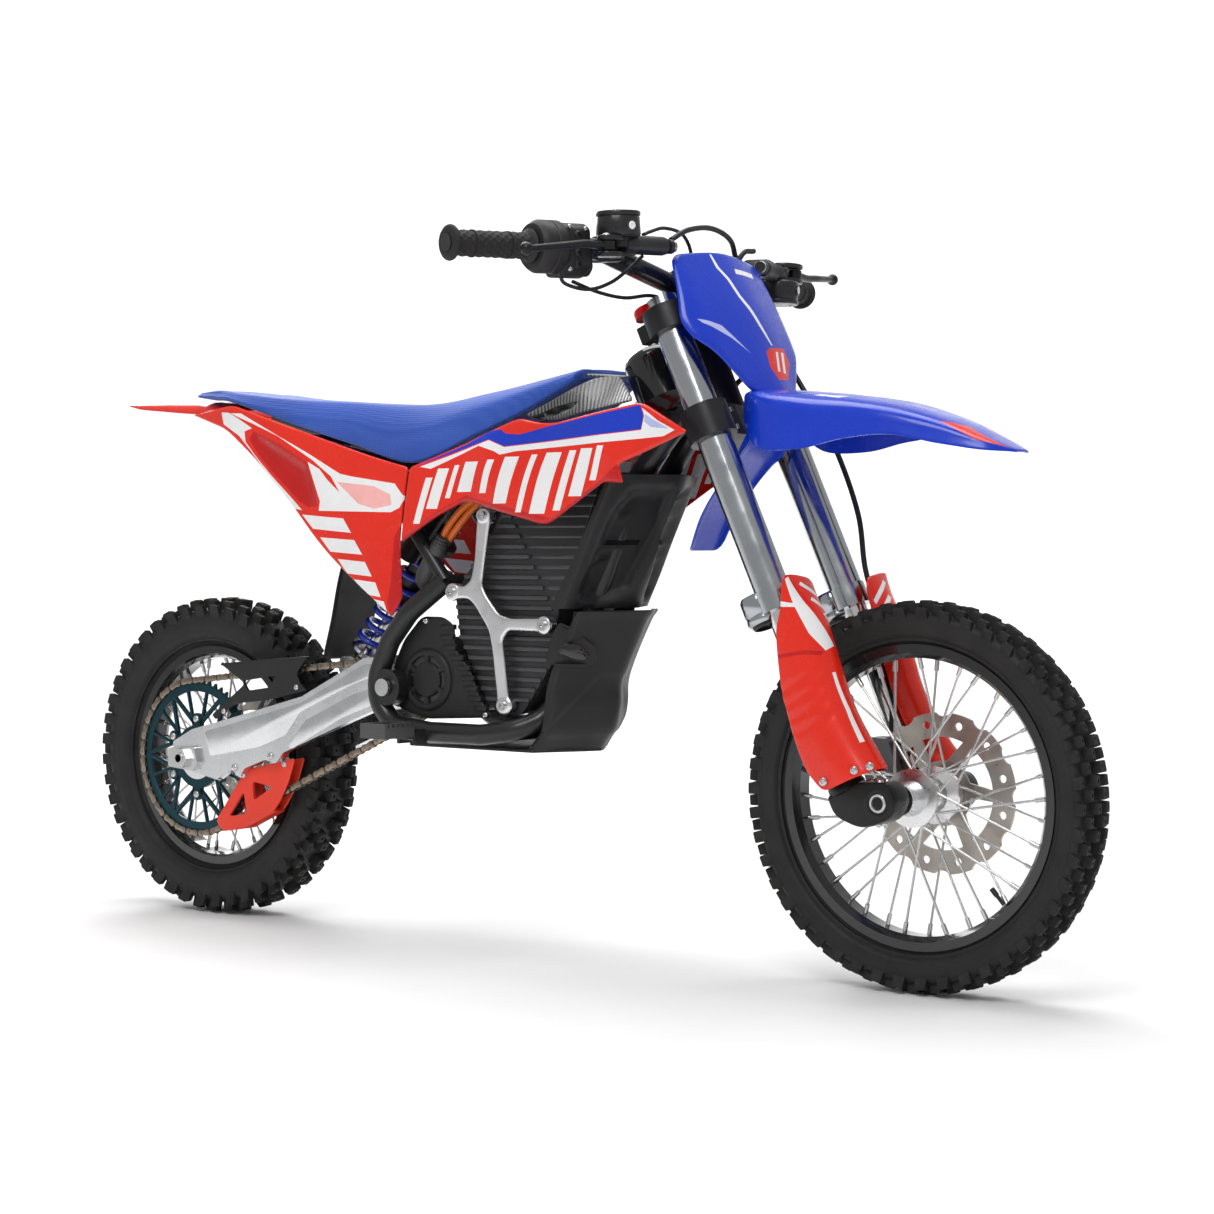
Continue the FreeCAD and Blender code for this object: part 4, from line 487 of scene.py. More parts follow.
def patch(outline, place, paint=(), spacing=8.0, roll=4.0, dents=(), flip=False, holes=(),
          base=0):
    """Triangulated skin over a 2-D outline; place maps (u, v, depth) rows to metres.

    roll rounds the rim over; paint is [(polygon, tint)] on top of the base tint; dents are
    [(polygon, depth, slope)]; holes are polygons left open; flip turns the faces round.
    """
    rim = densify(outline, spacing * 0.6)
    rows = [tuple(p) for p in rim]
    edges = [(i, (i + 1) % len(rim)) for i in range(len(rim))]
    guides = [np.array(g[0], float) for g in list(paint) + list(dents)]
    guides += [np.array(h, float) for h in holes]
    lines = [rim]
    for guide in guides:
        ring = densify(guide, spacing * 0.8)
        start = len(rows)
        rows += [tuple(p) for p in ring]
        edges += [(start + i, start + (i + 1) % len(ring)) for i in range(len(ring))]
        lines.append(ring)
    low, high = rim.min(0), rim.max(0)
    fill, row, v = [], 0, low[1]
    while v <= high[1]:
        shift = 0.5 * spacing if row % 2 else 0.0
        u = low[0] + shift
        while u <= high[0]:
            fill.append((u, v))
            u += spacing
        v += spacing * ROW_STEP
        row += 1
    fill = np.array(fill)
    fill = fill[inside(fill, outline)]
    fill = fill[edge_distance(fill, outline) > max(roll * 1.1, spacing * 0.45)]
    for ring in lines[1:]:
        if len(fill):
            fill = fill[edge_distance(fill, ring) > spacing * 0.4]
    if roll:
        for share in ROLL_SHARES:
            ring = np.array(rim)
            before, after = np.roll(ring, 1, 0), np.roll(ring, -1, 0)
            along = after - before
            along /= np.maximum(np.linalg.norm(along, axis=1), 1e-9)[:, None]
            area = np.sum(ring[:, 0] * np.roll(ring[:, 1], -1)
                          - np.roll(ring[:, 0], -1) * ring[:, 1])
            normal = np.stack([-along[:, 1], along[:, 0]], 1) * (1 if area > 0 else -1)
            inset = ring + normal * roll * share
            good = inside(inset, outline) & (edge_distance(inset, outline) > roll * share * 0.9)
            for other in lines[1:]:
                good &= edge_distance(inset, other) > spacing * 0.12
            rows += [tuple(p) for p in inset[good]]
    rows += [tuple(p) for p in fill]
    made = delaunay_2d_cdt([Vector(p) for p in rows], edges, [], 0, 1e-5)
    flat = np.array([tuple(p) for p in made[0]])
    tris = np.array(made[2])
    middle = flat[tris].mean(1)
    keep = inside(middle, outline)
    for hole in holes:
        keep &= ~inside(middle, hole)
    tris, middle = tris[keep], middle[keep]
    tint = np.full(len(tris), base)
    for polygon, index in paint:
        tint[inside(middle, polygon)] = index
    depth = np.zeros(len(flat))
    if roll:
        near = np.clip(edge_distance(flat, outline) / roll, 0, 1)
        depth += roll * 0.8 * (1 - np.sqrt(np.clip(1 - (1 - near) ** 2, 0, 1)))
    for polygon, deep, slope in dents:
        within = inside(flat, polygon)
        reach = np.clip(edge_distance(flat, polygon) / slope, 0, 1)
        depth += within * deep * reach * reach * (3 - 2 * reach)
    verts = place(flat[:, 0], flat[:, 1], depth)
    if flip:
        tris = tris[:, ::-1]
    return verts, tris, tint


def shell(shape, patched, thickness):
    """Add a patch to a shape as a closed sheet of that thickness (metres, inward)."""
    verts, tris, tint = patched
    verts = np.asarray(verts)
    a, b, c = verts[tris[:, 0]], verts[tris[:, 1]], verts[tris[:, 2]]
    face_normal = np.cross(b - a, c - a)
    normal = np.zeros_like(verts)
    for i in range(3):
        np.add.at(normal, tris[:, i], face_normal)
    normal /= np.maximum(np.linalg.norm(normal, axis=1), 1e-12)[:, None]
    back = verts - normal * thickness
    count = len(verts)
    faces = [tuple(t) for t in tris] + [tuple(i + count for i in reversed(t)) for t in tris]
    tints = list(tint) + list(tint)
    owners = {}
    for t, index in zip(tris, tint):
        for i in range(3):
            owners[(t[i], t[(i + 1) % 3])] = index
    for (i, j), index in owners.items():
        if (j, i) not in owners:
            faces.append((j, i, i + count, j + count))
            tints.append(index)
    used = np.unique(np.array([i for f in faces for i in f]))
    remap_index = {old: new for new, old in enumerate(used)}
    allv = np.vstack([verts, back])[used]
    shape.add(allv, [tuple(remap_index[i] for i in f) for f in faces], tints)


def thin_plate(points):
    """Smooth height over a plane through (u, v, height) points."""
    rows = np.array(points, float)
    u, v, h = rows[:, 0], rows[:, 1], rows[:, 2]
    n = len(rows)

    def kernel(r):
        return np.where(r > 1e-9, r * r * np.log(np.maximum(r, 1e-9)), 0.0)

    apart = np.hypot(u[:, None] - u[None], v[:, None] - v[None])
    system = np.zeros((n + 3, n + 3))
    system[:n, :n] = kernel(apart)
    system[:n, n], system[:n, n + 1], system[:n, n + 2] = 1, u, v
    system[n, :n], system[n + 1, :n], system[n + 2, :n] = 1, u, v
    weights = np.linalg.lstsq(system, np.concatenate([h, np.zeros(3)]), rcond=None)[0]

    def height(uu, vv):
        far = np.hypot(uu[:, None] - u[None], vv[:, None] - v[None])
        return kernel(far) @ weights[:n] + weights[n] + weights[n + 1] * uu + weights[n + 2] * vv

    return height


def side_panel_place(points):
    """Maps (x, z, depth) of the right flank to metres; points give its |y|."""
    height = thin_plate([(x, z, abs(y)) for x, y, z in points])

    def place(x, z, depth):
        return bike_rows(x, depth - height(x, z), z)

    return place


def flat_place(out):
    """Maps (x, z, depth) to the right flank's plane at that distance from the middle."""
    def place(x, z, depth):
        return bike_rows(x, depth - out, z)

    return place


def lathe(profile, matrix, steps=48, closed=False):
    """Revolve (radius, along) millimetre rows round Z of a frame."""
    verts, faces = [], []
    n = len(profile)
    for i in range(steps):
        angle = 2 * math.pi * i / steps
        for r, z in profile:
            verts.append(matrix @ Vector((r * math.cos(angle) / 1000,
                                          r * math.sin(angle) / 1000, z / 1000)))
    for i in range(steps):
        j = (i + 1) % steps
        for k in range(n if closed else n - 1):
            m = (k + 1) % n
            faces.append((i * n + k, j * n + k, j * n + m, i * n + m))
    if not closed:
        faces.append(tuple(i * n for i in reversed(range(steps))))
        faces.append(tuple(i * n + n - 1 for i in range(steps)))
    return verts, faces


def sweep(path, radius, sides=12):
    """Round tube along metre points; radius in metres, one number or one per point."""
    path = np.array([tuple(p) for p in path])
    radii = np.full(len(path), radius) if np.isscalar(radius) else np.array(radius)
    along = np.gradient(path, axis=0)
    along /= np.linalg.norm(along, axis=1)[:, None]
    ref = np.array([0.0, 1.0, 0.0]) if abs(along[0][1]) < 0.9 else np.array([1.0, 0, 0])
    verts = []
    for p, d, r in zip(path, along, radii):
        ref = ref - d * (ref @ d)
        ref /= np.linalg.norm(ref)
        other = np.cross(d, ref)
        for i in range(sides):
            a = 2 * math.pi * i / sides
            verts.append(p + r * (math.cos(a) * ref + math.sin(a) * other))
    return verts, loft_faces(len(path), sides)


def prism(outline, low, high, place, chamfer=0.0):
    """Closed slab over an outline between two depths, its rims chamfered."""
    ring = np.array(outline, float)
    area = np.sum(ring[:, 0] * np.roll(ring[:, 1], -1) - np.roll(ring[:, 0], -1) * ring[:, 1])
    if area < 0:
        ring = ring[::-1]
    along = np.roll(ring, -1, 0) - np.roll(ring, 1, 0)
    along /= np.maximum(np.linalg.norm(along, axis=1), 1e-9)[:, None]
    inward = np.stack([-along[:, 1], along[:, 0]], 1)
    levels = [(low, 0.0), (high, 0.0)]
    if chamfer:
        levels = [(low, chamfer), (low + chamfer * 0.3, chamfer * 0.3), (low + chamfer, 0.0),
                  (high - chamfer, 0.0), (high - chamfer * 0.3, chamfer * 0.3),
                  (high, chamfer)]
    verts = [place(p[0], p[1], depth) for depth, cut in levels for p in ring + inward * cut]
    return verts, loft_faces(len(levels), len(ring))


def ball_screw(shape, centre, axis, radius=5.0, height=2.6, tint=0):
    """Domed screw head with a round socket, standing on a surface."""
    matrix = facing(centre, Vector(axis).normalized())
    profile = [(radius, -1.0), (radius, height * 0.4), (radius * 0.8, height * 0.85),
               (radius * 0.5, height), (radius * 0.46, height * 0.45)]
    shape.lathe(profile, matrix, 18, tint=tint)


# ---------------------------------------------------------------- tyres
def knob(shape, turn, centre, across, size, low, high, lean=0.0, pit=True):
    """One tapered tread block; turn maps (angle, side, radius) to metres."""
    wide, long = size
    levels = [(low, 1.18, 1.15), (high - 1.6, 1.0, 1.0), (high, 0.86, 0.84)]
    if pit:
        levels += [(high, 0.30, 0.30), (high - 2.2, 0.22, 0.22)]
    mean = 0.5 * (low + high)
    verts = []
    for radius, share_w, share_l in levels:
        for sy, sl in CORNERS:
            y = across + sy * wide / 2 * share_w + lean * (radius - mean)
            verts.append(turn(centre + sl * long / 2 * share_l / high, y, radius))
    shape.add(verts, loft_faces(len(levels), 4), 1)


def make_tyre(end, axle, crown, half, flange, rim_half, tread, count, rows):
    """Hollow tyre with two ribs on each wall and rows of knobs, sizes in millimetres."""
    shape = Shape()

    def turn(angle, y, radius):
        return (axle.x + radius / 1000 * math.cos(angle), axle.y + y / 1000,
                axle.z + radius / 1000 * math.sin(angle))

    def add_hoop(ring, steps=120):
        n = len(ring)
        verts = [turn(2 * math.pi * i / steps, y, r) for i in range(steps) for y, r in ring]
        faces = []
        for i in range(steps):
            for k in range(n):
                j, m = (i + 1) % steps, (k + 1) % n
                faces.append((i * n + k, i * n + m, j * n + m, j * n + k))
        shape.add(verts, faces)

    bead = rim_half - 3.3
    base = crown - tread
    outer = [(bead, flange - 8), (bead, flange + 1), (bead + 1.5, flange + 3.5),
             (bead + 2.2, flange + 5.0), (half * 0.86, flange + 0.26 * (base - flange)),
             (half * 0.92, flange + 0.45 * (base - flange)),
             (half * 0.93, flange + 0.62 * (base - flange)),
             (half * 0.88, base - 8.5), (half * 0.76, base - 4.2), (half * 0.52, base - 1.4),
             (half * 0.26, base - 0.3), (0, base)]
    smooth_outer = spline(outer, 4)
    inner = [(max(0.0, y - 5.5) if r > flange else y - 5.0, r - 7.0 if r > flange + 10 else r)
             for y, r in outer]
    ring = [(y, r) for y, r in smooth_outer] + [(-y, r) for y, r in smooth_outer[-2::-1]]
    ring += [(-y, r) for y, r in inner[:-1]] + [(0, base - 7)]
    ring += [(y, r) for y, r in inner[-2::-1]]
    add_hoop(ring)
    for rib in (flange + 0.33 * (base - flange), flange + 0.7 * (base - flange)):
        for side in (-1, 1):
            y = side * np.interp(rib, [p[1] for p in outer[:8]], [p[0] for p in outer[:8]])
            cut = [(y - side * 1.5, rib - 0.8), (y + side * 0.5, rib - 0.4),
                   (y + side * 0.5, rib + 0.4), (y - side * 1.5, rib + 0.8)]
            add_hoop(cut)
    pitch = 2 * math.pi / count
    for i in range(count):
        for across, wide, long, low_cut, high_cut, lean, offset, pit, every in rows:
            if every and i % 2 != every - 1:
                continue
            for side in ((-1, 1) if across else (1,)):
                stagger = offset + (0.5 if side > 0 and across > 0.2 * half else 0.0)
                knob(shape, turn, (i + stagger) * pitch, side * across, (wide, long),
                     base - low_cut, crown - high_cut, side * lean, pit)
    shape.piece(f"{end}_tyre_knobbly", ["tyre_rubber", "knob_rubber"], f"{end}_wheel",
                replaces=[f"{end}_tyre"], sharp=30)


FRONT_TREAD = [
    # across, wide, long, low cut, high cut, lean, offset, pit, every
    (7.2, 10.0, 13.0, 1.5, 0.0, 0.05, 0.0, True, 0),
    (19.0, 8.5, 13.5, 3.5, 3.0, 0.25, 0.5, True, 0),
    (28.2, 7.2, 14.5, 14.0, 8.2, 0.42, 0.0, True, 0),
]
REAR_TREAD = [
    (0.0, 15.0, 15.0, 1.5, 0.0, 0.0, 0.0, True, 1),
    (13.0, 13.5, 15.0, 1.5, 0.2, 0.06, 0.5, True, 1),
    (25.5, 10.5, 16.0, 5.0, 3.4, 0.22, 0.0, True, 0),
    (36.4, 7.6, 16.5, 18.0, 10.5, 0.34, 0.5, False, 0),
]
make_tyre("front", FRONT_AXLE, crown=241, half=33, flange=188, rim_half=19.5, tread=11,
          count=46, rows=FRONT_TREAD)
make_tyre("rear", REAR_AXLE, crown=235.5, half=42, flange=163, rim_half=25, tread=14,
          count=44, rows=REAR_TREAD)


# ---------------------------------------------------------------- body panels
SIDE_PANEL = [(10, -79, 740), (112, -100, 751), (246, -106, 712), (396, -110, 669),
              (457, -113, 655), (441, -113, 552), (449, -117, 475), (431, -118, 451),
              (364, -116, 497), (300, -114, 545), (236, -110, 608), (172, -106, 665),
              (98, -98, 716)]
SHROUD = [(460, -113, 655), (560, -112, 686), (648, -112, 716), (700, -116, 706),
          (858, -128, 730), (942, -148, 690), (826, -134, 652), (833, -134, 628),
          (800, -131, 630), (708, -129, 574), (597, -122, 600), (566, -120, 609),
          (512, -118, 588), (444, -114, 552)]
PAINTS = ["red_plastic", "white_paint", "deep_red", "pink_gloss", "blue_plastic",
          "pale_blue"]
ON_RED, ON_WHITE, ON_DEEP_RED, ON_PINK, ON_BLUE, ON_PALE, AFTER_PAINTS = range(7)
PANEL_EDGE = 48
PANEL_WALL, FENDER_WALL = 0.0026, 0.003


def flat_ring(points):
    """The side view of a ring of (x, y, z) points."""
    return [(x, z) for x, y, z in points]


def slash(x, low, high, width, lean=0.36):
    """One slanted stripe of an abstract pattern."""
    shift = (high - low) * lean
    return [(x, low), (x + width, low), (x + width + shift, high), (x + shift, high)]


def make_side_panels():
    """Red panels under the seat with a sunk vent and an abstract pattern."""
    shape = Shape()
    outline = rounded(flat_ring(SIDE_PANEL), [6, 14, 40, 40, 6, 20, 10, 5, 30, 30, 30, 30, 20])
    controls = SIDE_PANEL + [(215, -112, 672), (300, -117, 610), (400, -119, 560)]
    vent = [(160, 712), (152, 700), (170, 679), (256, 611), (276, 602), (294, 604),
            (290, 626), (271, 664), (217, 691)]
    paint = [
        ([(88, 741), (93, 724), (129, 706), (172, 668), (244, 601), (262, 598), (232, 622),
          (165, 676), (143, 697), (141, 712), (157, 716), (129, 730), (105, 740)], ON_WHITE),
        ([(109, 739), (133, 738), (273, 677), (335, 648), (356, 644), (435, 633), (452, 614),
          (444, 600), (429, 594), (297, 597), (300, 610), (280, 650), (272, 666), (296, 655),
          (312, 640), (337, 622), (318, 645), (281, 668), (212, 703), (160, 722)], ON_WHITE),
        ([(330, 637), (398, 630), (428, 618), (430, 604), (400, 599), (372, 606)], ON_PINK),
        ([(262, 592), (345, 586), (360, 566), (284, 572)], ON_WHITE),
        ([(298, 560), (366, 556), (380, 536), (318, 540)], ON_WHITE),
        ([(332, 530), (384, 526), (396, 506), (350, 510)], ON_WHITE),
        ([(362, 502), (402, 498), (412, 478), (380, 482)], ON_WHITE),
        ([(392, 476), (418, 472), (424, 458), (404, 460)], ON_WHITE),
        (vent, ON_DEEP_RED),
    ]
    # painted shade: deep red strip along the front rim, where the rolled edge turns away from the
    # light
    edge = [(431, 451), (449, 475), (441, 552), (447, 580), (434, 560), (430, 500), (424, 470)]
    paint.append((edge, ON_DEEP_RED))
    shell(shape, patch(outline, side_panel_place(controls), paint, 7.0, 4.0,
                       dents=[(vent, 7.0, 16.0)]), PANEL_WALL)
    shape.mirrored()
    shape.piece("rear_side_panels", PAINTS, "frame", replaces=["side_panels"], sharp=PANEL_EDGE)


def make_shrouds():
    """Pointed panels ahead of the seat with slanted stripes."""
    shape = Shape()
    outline = rounded(flat_ring(SHROUD), [6, 40, 10, 30, 14, 6, 6, 3, 8, 16, 40, 20, 20, 5])
    controls = SHROUD + [(600, -127, 650), (700, -131, 650), (800, -136, 675)]
    paint = [
        ([(473, 656), (560, 683), (604, 700), (622, 702), (632, 696), (656, 694), (700, 703),
          (858, 726), (866, 712), (864, 695), (634, 679), (604, 689)], ON_BLUE),
        ([(480, 655), (604, 688), (634, 678), (864, 694), (867, 712), (862, 722), (891, 705),
          (922, 692), (903, 685), (842, 682), (654, 672), (628, 668), (617, 673),
          (586, 681), (500, 652)], ON_WHITE),
        ([(868, 714), (884, 706), (912, 694), (880, 697), (868, 704)], ON_PALE),
        # painted shade: deep red strip along the lower rim, where the rolled edge turns away from
        # the light
        ([(708, 570), (800, 626), (800, 634), (716, 584), (600, 607), (566, 615),
          (512, 594), (444, 556), (444, 548), (512, 584), (566, 603)], ON_DEEP_RED),
    ]
    for x, low, high, width in ((470, 578, 640, 12), (494, 598, 652, 20), (528, 612, 656, 9),
                                (550, 620, 660, 26), (592, 618, 662, 12), (616, 604, 665, 24),
                                (656, 592, 667, 10), (680, 590, 669, 26), (720, 594, 671, 12),
                                (746, 612, 673, 20), (780, 632, 676, 10)):
        paint.append((slash(x, low, high, width), ON_WHITE))
    # painted shade: deep red on the rim at the lower front point
    paint.append(([(826, 652), (833, 624), (796, 626), (800, 634)], ON_DEEP_RED))
    shell(shape, patch(outline, side_panel_place(controls), paint, 7.0, 4.5), PANEL_WALL)
    shape.mirrored()
    shape.piece("radiator_shrouds", PAINTS, "frame", replaces=["shrouds"], sharp=PANEL_EDGE)


def make_top_cover():
    """Woven-look cover over the battery, flanks and lid."""
    shape = Shape()
    ring = [(650, -104, 720), (742, -66, 768), (770, -56, 770), (838, -117, 733),
            (702, -109, 710)]
    outline = rounded(flat_ring(ring), [8, 20, 10, 8, 20])
    hole = [(664, 717), (700, 730), (742, 736), (738, 727), (702, 717), (676, 713)]
    controls = ring + [(742, -92, 748), (700, -92, 740)]
    shell(shape, patch(outline, side_panel_place(controls), [(hole, 1)], 6.0, 3.0,
                       dents=[(hole, 7.0, 5.0)]), PANEL_WALL)
    shape.mirrored()

    def over(x, y, depth):
        z = 770 + 3.5 * np.sqrt(np.clip(1 - (y / 62) ** 2, 0, 1)) - 0.10 * (x - 745) - depth
        return bike_rows(x, y, z)

    lid = rounded([(716, -58), (774, -54), (774, 54), (716, 58)], 8)
    shell(shape, patch(lid, over, (), 7.0, 3.0), PANEL_WALL)
    shape.piece("woven_top_cover", ["patterned_black", "black_plastic"], "frame",
                replaces=["top_cover"], sharp=PANEL_EDGE)


make_side_panels()
make_shrouds()
make_top_cover()


# ---------------------------------------------------------------- fenders and plate
def rows_along(stations, x):
    """Interpolate station rows smoothly at each x."""
    rows = np.array(stations, float)
    fine = spline(rows, 16)
    order = np.argsort(fine[:, 0])
    fine = fine[order]
    return [np.interp(x, fine[:, 0], fine[:, k]) for k in range(1, rows.shape[1])]


def make_front_fender():
    """Arched fender and the flap under it; stations are (x, half, ridge, crease, edge)."""
    stations = [(965, 56, 746, 736, 700), (1000, 78, 745, 728, 672), (1065, 82, 741, 708, 669),
                (1125, 80, 734, 704, 680), (1185, 73, 722, 698, 684), (1245, 60, 702, 686, 672),
                (1300, 42, 676, 668, 662), (1328, 20, 663, 660, 657)]

    def place(x, s, depth):
        half, ridge, crease, edge = rows_along(stations, x)
        a = np.clip(np.abs(s) / 100, 0, 1)
        side = np.sign(s)
        top = np.clip(a / 0.72, 0, 1)
        skirt = np.clip((a - 0.72) / 0.28, 0, 1)
        y = np.where(a < 0.72, (half - 3) * np.sin(top * np.pi / 2) ** 0.98,
                     half - 3 + 3 * skirt)
        drop = ridge - crease
        z = ridge - drop * (0.22 * top + 0.78 * top ** 3.2) - (crease - edge) * skirt
        rib = np.exp(-((y - 0.30 * half) / 7.0) ** 2)
        channel = 1 - np.clip((y - 0.22 * half) / 9, 0, 1)
        starts, ends = np.clip((x - 985) / 40, 0, 1), np.clip((1240 - x) / 80, 0, 1)
        z = z - 3.2 * channel * starts * ends + 1.4 * rib * ends
        return bike_rows(x, y * side, z - depth * 0.8)

    shape = Shape()
    outline = rounded([(965, -96), (1000, -100), (1125, -99), (1245, -99), (1300, -96),
                       (1328, -60), (1328, 60), (1300, 96), (1245, 99), (1125, 99),
                       (1000, 100), (965, 96)], [8, 20, 30, 30, 20, 14, 14, 20, 30, 30, 20, 8])
    red_spot = [(1242, -46), (1268, -20), (1306, -34), (1322, -46), (1288, -64)]
    white_spot = [(1070, -36), (1076, -30), (1094, -31), (1114, -28), (1106, -38),
                  (1088, -36)]
    paint = [(red_spot, ON_RED), ([(x, -v) for x, v in red_spot], ON_RED),
             (white_spot, ON_WHITE), ([(x, -v) for x, v in white_spot], ON_WHITE)]
    shell(shape, patch(outline, place, paint, 8.0, 3.0, base=ON_BLUE), 0.0028)

    track = spline([(980, 730), (968, 690), (930, 648), (885, 592), (862, 541)], 8)
    lengths = arc_lengths(track)

    def flap(v, s, depth):
        x = np.interp(v, lengths, track[:, 0])
        z = np.interp(v, lengths, track[:, 1])
        half = np.interp(v, lengths[[0, 8, 16, 24, 32]], [52, 50, 46, 41, 38])
        y = s / 100 * half
        ahead = 9 * np.clip((np.abs(s) / 100 - 0.6) / 0.4, 0, 1) ** 1.6
        return bike_rows(x + ahead + depth * 0.6, y, z)

    total = lengths[-1]
    strap = rounded([(2, -98), (2, 98), (total - 1, 96), (total - 1, -96)], [4, 4, 26, 26])
    shell(shape, patch(strap, flap, (), 9.0, 3.0, flip=True, base=ON_BLUE), FENDER_WALL)
    shape.piece("arched_front_fender", PAINTS, "steering", replaces=["front_fender"],
                sharp=PANEL_EDGE)


def make_rear_fender():
    """Tail and the guard behind the shock; stations are (x, half, top, side)."""
    stations = [(-186, 24, 765, 759), (-110, 46, 765, 752), (-20, 68, 764, 744),
                (8, 74, 763, 742), (60, 84, 757, 738), (110, 90, 747, 738)]

    def place(x, s, depth):
        half, top, side = rows_along(stations, x)
        a = np.abs(s) / 100
        y = np.sign(s) * half * np.sin(np.clip(a, 0, 1) * np.pi / 2)
        crown = np.clip(1 - np.abs(a - 0.45) / 0.12, 0, 1)
        z = top - (top - side) * a ** 3.0 - depth * 0.8 + 1.2 * crown
        return bike_rows(x, y, z)

    shape = Shape()
    outline = rounded([(-186, -70), (-150, -96), (108, -98), (108, 98), (-150, 96),
                       (-186, 70)], [16, 30, 4, 4, 30, 16])
    shell(shape, patch(outline, place, (), 8.0, 3.0), FENDER_WALL)
    track = spline([(335, 645), (276, 530), (252, 442), (236, 388)], 8)
    lengths = arc_lengths(track)

    def guard(v, s, depth):
        x = np.interp(v, lengths, track[:, 0]) - depth * 0.5
        z = np.interp(v, lengths, track[:, 1])
        bulge = 5 * np.clip(np.abs(s) / 45 - 0.7, 0, 1)
        return bike_rows(x + bulge, s, z)

    strap = rounded([(1, -43), (1, 43), (lengths[-1] - 1, 43), (lengths[-1] - 1, -43)],
                    [3, 3, 10, 10])
    shell(shape, patch(strap, guard, (), 10.0, 3.0, flip=True, base=AFTER_PAINTS), 0.004)
    shape.piece("tail_and_mudguard", PAINTS + ["black_plastic"], "frame",
                replaces=["rear_fender"], sharp=PANEL_EDGE)


def make_number_plate():
    """Blue plate on the fork, rows (ahead, left, up), with a striped shield."""
    points = [(68, 96, 742), (68, -96, 742), (80, 0, 748), (72, 117, 650), (72, -117, 650),
              (90, 0, 648), (80, 47, 541), (80, -47, 541), (88, 0, 536)]
    height = thin_plate([(y, t, e) for e, y, t in points])

    def place(y, t, depth):
        side = np.clip((np.abs(y) - 84) / 33, 0, 1)
        return fork_rows(height(y, t) - depth - 14 * side ** 2.2, y, t)

    shape = Shape()
    outline = rounded([(-96, 743), (0, 749), (96, 743), (117, 652), (112, 626), (50, 545),
                       (0, 535), (-50, 545), (-112, 626), (-117, 652)],
                      [16, 60, 16, 14, 14, 14, 30, 14, 14, 14])
    shield = [(14, 606), (54, 610), (58, 590), (34, 563), (6, 560), (-4, 578), (0, 600)]
    wide_slash = [(41, 603), (48, 603), (34, 572), (27, 572)]
    thin_slash = [(25, 602), (31, 602), (18, 573), (12, 573)]
    line = [(-30, 742), (-26, 742), (-24, 722), (-14, 706), (-8, 680), (2, 662), (10, 640),
            (22, 610), (18, 610), (4, 636), (-4, 658), (-14, 678), (-20, 704), (-30, 722)]
    bar = [(8, 715), (11, 723), (60, 723), (57, 715)]
    # painted highlight: a pale streak on the blue plate standing in for a reflection
    sheen = [(-103, 648), (-70, 636), (-38, 600), (-34, 596), (-60, 618), (-98, 641)]
    paint = [(shield, ON_RED), (wide_slash, ON_WHITE), (thin_slash, ON_WHITE),
             (line, ON_WHITE), (sheen, ON_PALE), (bar, ON_WHITE)]
    shell(shape, patch(outline, place, paint, 6.5, 5.0, base=ON_BLUE),
          FENDER_WALL)
    shape.piece("front_number_plate", PAINTS, "steering", replaces=["number_plate"],
                sharp=PANEL_EDGE)


def make_fork_guards():
    """Red shells round the lower fork legs; stations are (up, rear, front)."""
    stations = [(38, 6, 84), (75, -6, 77), (111, -9, 72), (145, -8, 71), (177, -6, 74),
                (236, 11, 78), (265, 35, 74), (297, 58, 70)]
    fine = spline(stations, 10)
    arc_s = np.linspace(0, 100, 10)
    arc_e = np.array([0, 0.25, 0.5, 0.72, 0.84, 0.95, 1.0, 0.96, 0.84, 0.65])
    arc_y = np.array([34, 36.2, 37, 34, 28, 17, 4, -10, -20, -25])
    curve = spline(np.stack([arc_s, arc_e, arc_y], 1), 6)

    def place(t, s, depth):
        rear = np.interp(t, fine[:, 0], fine[:, 1])
        front = np.interp(t, fine[:, 0], fine[:, 2])
        e = rear + (front - rear) * np.interp(s, curve[:, 0], curve[:, 1])
        y = np.interp(s, curve[:, 0], curve[:, 2])
        rib = np.zeros(len(t))
        for middle in (118, 136, 154, 172):
            rib = np.maximum(rib, np.exp(-((t - middle - 0.10 * (s - 20)) / 3.2) ** 2))
        rib *= np.clip((48 - s) / 8, 0, 1) * np.clip((s - 3) / 4, 0, 1)
        step = np.clip((58 - t) / 5, 0, 1) * np.clip((s - 46) / 6, 0, 1)
        y = y - 1.6 * rib + 1.6 * step - depth * np.clip((70 - s) / 30, 0, 1) * 0.9
        e = e - depth * np.clip((s - 40) / 30, 0, 1) * 0.9
        return fork_rows(e, -(LEG_OUT + y), t)

    shape = Shape()
    outline = rounded([(38, 1), (60, 0), (297, 12), (300, 50), (292, 96), (38, 99)],
                      [8, 30, 26, 60, 26, 10])
    paint = [
        ([(294, 30), (296, 42), (232, 60), (200, 70), (196, 56), (222, 44), (262, 34)], ON_WHITE),
        ([(268, 6), (274, 8), (262, 36), (256, 40)], ON_WHITE),
        ([(284, 56), (288, 60), (262, 92), (256, 90)], ON_WHITE),
        ([(262, 62), (266, 66), (240, 96), (236, 90)], ON_WHITE),
        ([(242, 70), (244, 78), (214, 98), (212, 92)], ON_WHITE),
        ([(168, 56), (168, 60), (120, 62), (76, 60), (76, 54), (120, 57)], ON_WHITE),
        ([(212, 4), (216, 4), (196, 54), (192, 50)], ON_DEEP_RED),
    ]
    shell(shape, patch(outline, place, paint, 6.0, 3.0, flip=True), PANEL_WALL)
    shape.mirrored()
    shape.piece("fork_guard_shells", PAINTS, "fork_lower", replaces=["fork_guards"],
                sharp=PANEL_EDGE)
    screws = Shape()
    for e, t, y in ((16, 49, 125), (60, 46, 122), (76, 44, 112)):
        ball_screw(screws, fork(e, -y, t), (0.1, -1, 0), 5.2, 3.0)
    screws.mirrored()
    screws.piece("fork_guard_screws", ["bolt_steel"], "fork_lower", sharp=35)


make_front_fender()
make_rear_fender()
make_number_plate()
make_fork_guards()


